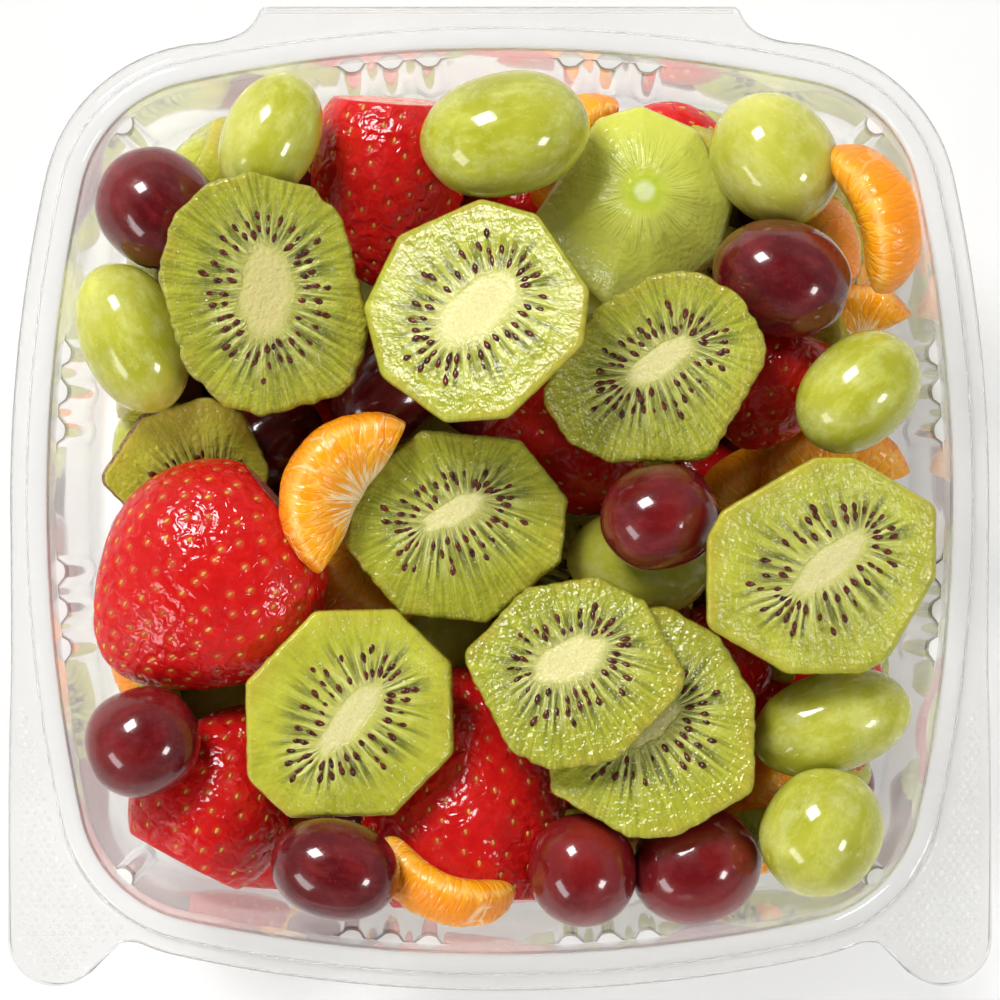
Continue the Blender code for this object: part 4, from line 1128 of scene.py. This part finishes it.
achene_shell = mottled_material(
    "strawberry_seed", (130.0,), (0.35, (0.42, 0.10, 0.015)), (0.65, (0.78, 0.40, 0.06)),
    Roughness=0.3, Coat_Weight=0.4)

for number, (node, (*size, turn, dip, left, paleness)) in enumerate(BERRIES.items()):
    shape, faces, kinds, shade = berry(size, left, 5.3 * number)
    materials = [berry_material(node, paleness), achene_shell]
    made = place_rotated(node + "_cut", shape, faces, materials, "strawberry", node, turn, dip=dip,
                         kinds=kinds)
    point_values(made, "shade", shade)

# --- Mandarins ---------------------------------------------------------------------------------
# Peeled mandarin segments. Juice sacs fill the thin skin from the inner edge to the back and
# show through it, and white pith threads still cling to the inner edge.

SEGMENT_SECTION = (  # (from the inner edge to the back, half thickness), as shares
    (0.0, 0.0), (0.22, 0.5), (0.6, 0.95), (0.9, 0.75),
    (1.0, 0.0), (0.9, -0.75), (0.6, -0.95), (0.22, -0.5),
)
SEGMENTS = {  # radius of the back, half angle, height, thickness, turn, roll, pith
    "mandarin_top_right": (16.2, 82, 15, 12, -71, 55, 0.3),
    "mandarin_right_upper": (12, 85, 11, 10, 24, 0, 0.6),
    "mandarin_middle": (17.9, 84, 16.0, 13, 60, 8, 0.6),
    "mandarin_left_low": (15, 85, 12, 12, 140, 20, 0.5),
    "mandarin_under_left": (14, 80, 11, 11, 100, 30, 0.5),
    "mandarin_centre_low": (15, 85, 13, 13, 130, 35, 0.3),
    "mandarin_top_low": (14, 80, 11, 11, 60, 40, 0.4),
    "mandarin_right_low": (16, 85, 13, 10, 14, 20, 0.3),
    "mandarin_under_kiwi": (14, 85, 12, 12, 50, 30, 0.2),
    "mandarin_lower_right": (15, 85, 13, 13, 62, 35, 0.4),
    "mandarin_bottom_right": (14, 80, 11, 12, 40, 30, 0.4),
    "mandarin_bottom_low": (14, 80, 12, 12, 150, 30, 0.5),
    "mandarin_bottom": (15, 80, 10.5, 11, 158, 55, 0.8),
    "mandarin_top_right_low": (14, 80, 12, 12, -65, 40, 0.3),
}


def smooth_loop(corners, count):
    """A closed Catmull-Rom curve through the corners."""
    corners = np.array(corners)
    sides = len(corners)
    out = []
    for i in range(count):
        at = i * sides / count
        k, t = int(at), at % 1.0
        a, b, c, d = (corners[(k + j) % sides] for j in (-1, 0, 1, 2))
        out.append(b + 0.5 * t * (c - a + t * (2 * a - 5 * b + 4 * c - d
                                               + t * (3 * (b - c) + d - a))))
    return out


def segment(radius, half_angle, height, thickness, seed, stations=60, sides=40):
    """Points, faces and lie (mm along, share out from the inner edge, side) of a segment."""
    section = smooth_loop(SEGMENT_SECTION, sides)
    half = math.radians(half_angle)
    points, lie = [], []
    for i in range(1, stations):
        share = math.sin(math.pi / 2 * (2 * i / stations - 1))
        angle = half * share
        full = math.cos(share * math.pi / 2) ** 0.17
        outer = radius * (0.93 + 0.07 * full)
        inner = outer - height * full
        along = angle * radius * 0.75
        for u, h in section:
            sac = noise.noise(Vector((along / 1.5 + seed, u * 1.6, h * 0.7)))
            broad = noise.noise(Vector((along / 6.0 - seed, u * 2.0, h)))
            puff = 1 + (0.045 * sac + 0.06 * broad) * min(1.0, 2.5 * abs(h))
            reach = inner + u * (outer - inner) + 0.22 * sac * u + 0.35 * broad * u
            points.append((reach * math.sin(angle), reach * math.cos(angle),
                           h * puff * thickness / 2 * full))
            lie.append((along + seed * 10, u, h))
    faces = loops(sides, stations - 1)
    for end in (-1, 1):
        first = 0 if end < 0 else (stations - 2) * sides
        points.append((end * 0.9 * radius * math.sin(half), 0.9 * radius * math.cos(half), 0.0))
        lie.append((end * half * radius * 0.75 + seed * 10, 0.5, 0.0))
        faces += fan(first, sides, len(points) - 1, inwards=end < 0)
    return points, faces, lie


def mandarin_group():
    """Skin of a segment: juice sacs behind it, a darker back edge and white pith."""
    group, given, out = new_group("mandarin_skin", Pith=0.5)
    lie = attribute(group, "lie")
    split = split_xyz(group, lie)
    coords = object_coords(group)
    wander = noise_of(group, coords, 210.0, 2.0)
    sacs_at = make(group, "ShaderNodeCombineXYZ", {
        0: times_plus(group, wander, 1.6, split["X"]), 1: times(group, split["Y"], 3.4),
        2: times(group, split["Z"], 1.2)}).outputs[0]
    sac = make(group, "ShaderNodeTexVoronoi", {"Vector": sacs_at, "Scale": 0.62}).outputs["Color"]
    wall = make(group, "ShaderNodeTexVoronoi", {"Vector": sacs_at, "Scale": 0.62},
                feature="DISTANCE_TO_EDGE").outputs["Distance"]
    orange = mix_colour(group, split_xyz(group, sac)["X"], (0.95, 0.31, 0.003), (1.0, 0.42, 0.009))
    seam = ramp(group, wall, (0.0, 0.75), (0.10, 0.0))
    orange = mix_colour(group, seam, orange, (1.0, 0.52, 0.07))
    cloudy = ramp(group, noise_of(group, coords, 260.0, 4.0, 0.65), (0.5, 0.0), (0.8, 0.55))
    orange = mix_colour(group, cloudy, orange, (1.0, 0.56, 0.14))
    back = ramp(group, split["Y"], (0.90, 0.0), (0.97, 0.8), (1.0, 0.9))
    orange = mix_colour(group, back, orange, (0.93, 0.29, 0.006))
    rim = ramp(group, split["Y"], (0.78, 0.0), (0.85, 0.35), (0.92, 0.0))
    orange = mix_colour(group, rim, orange, (1.0, 0.66, 0.26))
    thread = noise_of(group, stretched(group, lie, (0.9, 1.1, 1)), 1.15, 3.0, 0.7)
    reach = times_plus(group, thread, -2.3, times_plus(
        group, split["Y"], 1.35, times(group, given["Pith"], -0.30)))
    pith = ramp(group, math_node(group, "ADD", reach, 1.25), (0.0, 0.9), (0.26, 0.0))
    net = make(group, "ShaderNodeTexVoronoi", {"Vector": coords, "Scale": 150.0},
               feature="DISTANCE_TO_EDGE").outputs["Distance"]
    where = ramp(group, noise_of(group, coords, 75.0, 1.0), (0.54, 0.0), (0.60, 0.8))
    veins = times(group, ramp(group, net, (0.015, 0.9), (0.05, 0.0)),
                  times(group, where, given["Pith"]))
    white = math_node(group, "MAXIMUM", pith, veins, clamp=True)
    rough = ramp(group, noise_of(group, coords, 300.0, 2.0), (0.35, 0.09), (0.7, 0.34))
    skin = times_plus(group, ramp(group, wall, (0.0, 0.0), (0.16, 1.0)), 0.8,
                      noise_of(group, coords, 900.0, 3.0, 0.6))
    feed(group, out, Colour=mix_colour(group, white, orange, (1.0, 0.80, 0.50)),
         Roughness=times_plus(group, white, 0.25, rough, clamp=True),
         Height=times_plus(group, white, 0.7, skin))
    return group


mandarin_skin = mandarin_group()


def mandarin_material(name, pith):
    return grouped_material(name, mandarin_skin, {"Pith": pith}, 0.6, 0.0003,
                            Subsurface_Weight=0.3, Subsurface_Radius=(1.0, 0.5, 0.1),
                            Subsurface_Scale=0.004)


for number, (node, (*size, turn, roll, pith)) in enumerate(SEGMENTS.items()):
    shape, faces, lie = segment(*size, 2.9 * number)
    made = place_rotated(node + "_segment", shape, faces, [mandarin_material(node, pith)],
                         "mandarin", node, turn, roll)
    point_values(made, "lie", lie)

# --- The fruit underneath ----------------------------------------------------------------------
# The same fruit fills the tub below: grapes, mandarin segments, small strawberries and slices of
# kiwi that stand against the wall. They lie over a core of fruit too deep to see, whose near-black
# red, brown and olive colour is painted shade.

HEAP_HALF, HEAP_CORNER = 78.0, 34.0
HEAP_DRAW = 0.16  # how much the heap draws in for each mm below HEAP_FOOT
HEAP_FOOT, HEAP_LOWEST = 14.0, 1.3
HEAP_DEEP = 20.0  # its height where it has a hollow
COLUMN, KIWI_COLUMN = 21.0, 33.0  # room along the wall for two pieces, and for a slice of kiwi
ROWS = (11.0, 26.5)  # heights of the two pieces
LAYER = 19.0  # between the pieces on top
HEAP_RINGS = (3, 10, 4, 2)
HEAP_KINDS = {  # slot, materials and the values that its points carry
    "green": ("green_grape", [grape_material("heap_green", "green", 0.3)], "scar"),
    "red": ("red_grape", [grape_material("heap_red", "red", 0.3)], "scar"),
    "mandarin": ("mandarin", [mandarin_material("heap_mandarin", 0.5)], "lie"),
    "berry": ("strawberry", [berry_material("heap_berry", 0.3), achene_shell], "shade"),
    "kiwi": ("kiwi", [kiwi_material("heap_kiwi", 0.15, 0.6), seed_shell], "polar"),
}

heap_points, heap_faces = cad_mesh("fruit_heap")
heap_tree = BVHTree.FromPolygons(heap_points, heap_faces)


def heap_top(x, y):
    hit = heap_tree.ray_cast(Vector((x, y, 200)), Vector((0, 0, -1)))[0]
    return hit.z if hit else HEAP_DEEP


def pressed_in(points):
    """Keeps a piece inside the heap's outline and above its floor: it flattens where it leans."""
    out = []
    for x, y, z in points:
        half = HEAP_HALF - HEAP_DRAW * max(0.0, HEAP_FOOT - z)
        straight = half - HEAP_CORNER
        qx, qy = abs(x) - straight, abs(y - TUB_Y) - straight
        beyond = math.hypot(max(qx, 0), max(qy, 0)) + min(max(qx, qy), 0) - HEAP_CORNER
        if beyond > 0:
            if qx > 0 and qy > 0:
                share = HEAP_CORNER / (HEAP_CORNER + beyond)
                x = math.copysign(straight + qx * share, x)
                y = TUB_Y + math.copysign(straight + qy * share, y - TUB_Y)
            elif qx > qy:
                x -= math.copysign(beyond, x)
            else:
                y -= math.copysign(beyond, y - TUB_Y)
        out.append((x, y, max(z, HEAP_LOWEST)))
    return out


def spot_on_side(along, inset):
    """A place so far along the heap's outline and so far inside it, and the way outwards."""
    straight = HEAP_HALF - HEAP_CORNER
    bend = HEAP_CORNER * math.pi / 2
    quarter, rest = divmod(along, 2 * straight + bend)
    if rest < 2 * straight:
        x, y, way = HEAP_HALF - inset, rest - straight, 0.0
    else:
        way = (rest - 2 * straight) / HEAP_CORNER
        reach = HEAP_CORNER - inset
        x, y = straight + reach * math.cos(way), straight + reach * math.sin(way)
    (x, y), = turned([(x, y)], int(quarter) % 4)
    return x, y + TUB_Y, way + quarter * math.pi / 2


heap_rng = np.random.default_rng(12)
laid = {kind: [] for kind in HEAP_KINDS}


def lay(kind, at, turn, tilt):
    """Makes one piece, turned about Z after it is tipped up by tilt, in radians."""
    rng, seed = heap_rng, float(heap_rng.uniform(0, 90))
    kinds = None
    if kind in ("green", "red"):
        shape, faces, values = grape_points(rng.uniform(11.5, 14), rng.uniform(9.2, 10.5),
                                            int(rng.integers(-1, 2)), seed, 22, 26)
    elif kind == "mandarin":
        shape, faces, values = segment(rng.uniform(14, 16), 84, 12, rng.uniform(10.5, 12.5),
                                       seed, 26, 20)
        shape = np.array(shape) - (0, 9, 0)
    elif kind == "berry":
        size = (rng.uniform(26, 31), rng.uniform(21, 24), rng.uniform(18, 21))
        shape, faces, kinds, values = berry(size, 0.72, seed, 0.42)
    else:
        rim = flat_sides(0, tuple(rng.uniform(16.5, 18.5, 9)), 2 * CHAMBERS)
        core = ((0, 0), rng.uniform(0, 180), 6.5, 3.0)
        shape, faces, kinds, values = cut_kiwi(rim, core, 7.0, seed, rng, rings=HEAP_RINGS,
                                               seed_rows=4)
    spin = Matrix.Rotation(rng.uniform(0, 6), 3, "Z" if kind == "kiwi" else "X")
    way = Matrix.Rotation(turn, 3, "Z") @ Matrix.Rotation(tilt, 3, "Y") @ spin
    points = pressed_in(np.array(shape) @ np.array(way).T + at)
    laid[kind].append((points, faces, kinds or [0] * len(faces), values))


around_heap = 4 * (2 * (HEAP_HALF - HEAP_CORNER) + HEAP_CORNER * math.pi / 2)
along = 6.0
while along < around_heap - 14.0:
    if heap_rng.random() < 0.3:
        along += KIWI_COLUMN / 2
        x, y, out = spot_on_side(along, 5.5)
        lay("kiwi", (x, y, 20.5), out + heap_rng.uniform(-0.2, 0.2), heap_rng.uniform(1.15, 1.5))
        along += KIWI_COLUMN / 2
        continue
    along += COLUMN / 2
    for row, z in enumerate(ROWS):
        kind = heap_rng.choice(["green", "red", "mandarin", "berry"], p=[0.32, 0.22, 0.26, 0.20])
        x, y, out = spot_on_side(along + (row - 0.5) * 4, 10.0)
        if z + 8 > heap_top(x, y):
            z = max(ROWS[0], heap_top(x, y) - 8)
        lay(kind, (x, y, z + heap_rng.uniform(-1, 1)),
            out + math.pi / 2 + heap_rng.uniform(-0.4, 0.4), heap_rng.uniform(-0.4, 0.4))
    along += COLUMN / 2
steps = np.arange(-3, 4) * LAYER
for column in steps:
    for row in steps:
        x, y = column + heap_rng.uniform(-3, 3), row + heap_rng.uniform(-3, 3)
        kind = heap_rng.choice(list(HEAP_KINDS), p=[0.24, 0.26, 0.22, 0.18, 0.10])
        low = 4.5 if kind == "kiwi" else 10.0
        z = min(heap_top(x + dx, y + dy) for dx in (-5, 0, 5) for dy in (-5, 0, 5)) - low
        tilt = heap_rng.uniform(-0.25, 0.25)
        lay(kind, (x, y, z), heap_rng.uniform(0, 6.2), tilt)

for kind, (slot, materials, values_name) in HEAP_KINDS.items():
    points, faces = join([(p, f) for p, f, _, _ in laid[kind]])
    kinds = [k for _, _, part, _ in laid[kind] for k in part]
    made = add_piece("heap_" + kind, points, faces, materials, slot, ["fruit_heap"], kinds)
    point_values(made, values_name, [v for *_, values in laid[kind] for v in values])

# Painted shade: the core's near-black red, brown and olive stand for fruit lying deep in shade.
core_in_painted_shade = mottled_material(
    "heap_core", (55.0,), (0.38, (0.09, 0.008, 0.008)), (0.55, (0.24, 0.06, 0.01)),
    (0.68, (0.16, 0.14, 0.015)), relief=(0.6, 0.002), Roughness=0.35, Coat_Weight=0.3)
CORE_SHARE, CORE_DEEPER, CORE_LOWEST = 0.86, 8.0, 2.0
core_points = [(p.x * CORE_SHARE, TUB_Y + (p.y - TUB_Y) * CORE_SHARE,
                max(CORE_LOWEST, p.z - CORE_DEEPER)) for p in heap_points]
add_piece("heap_core", core_points, heap_faces, [core_in_painted_shade], "mixed_fruit", ["fruit_heap"])
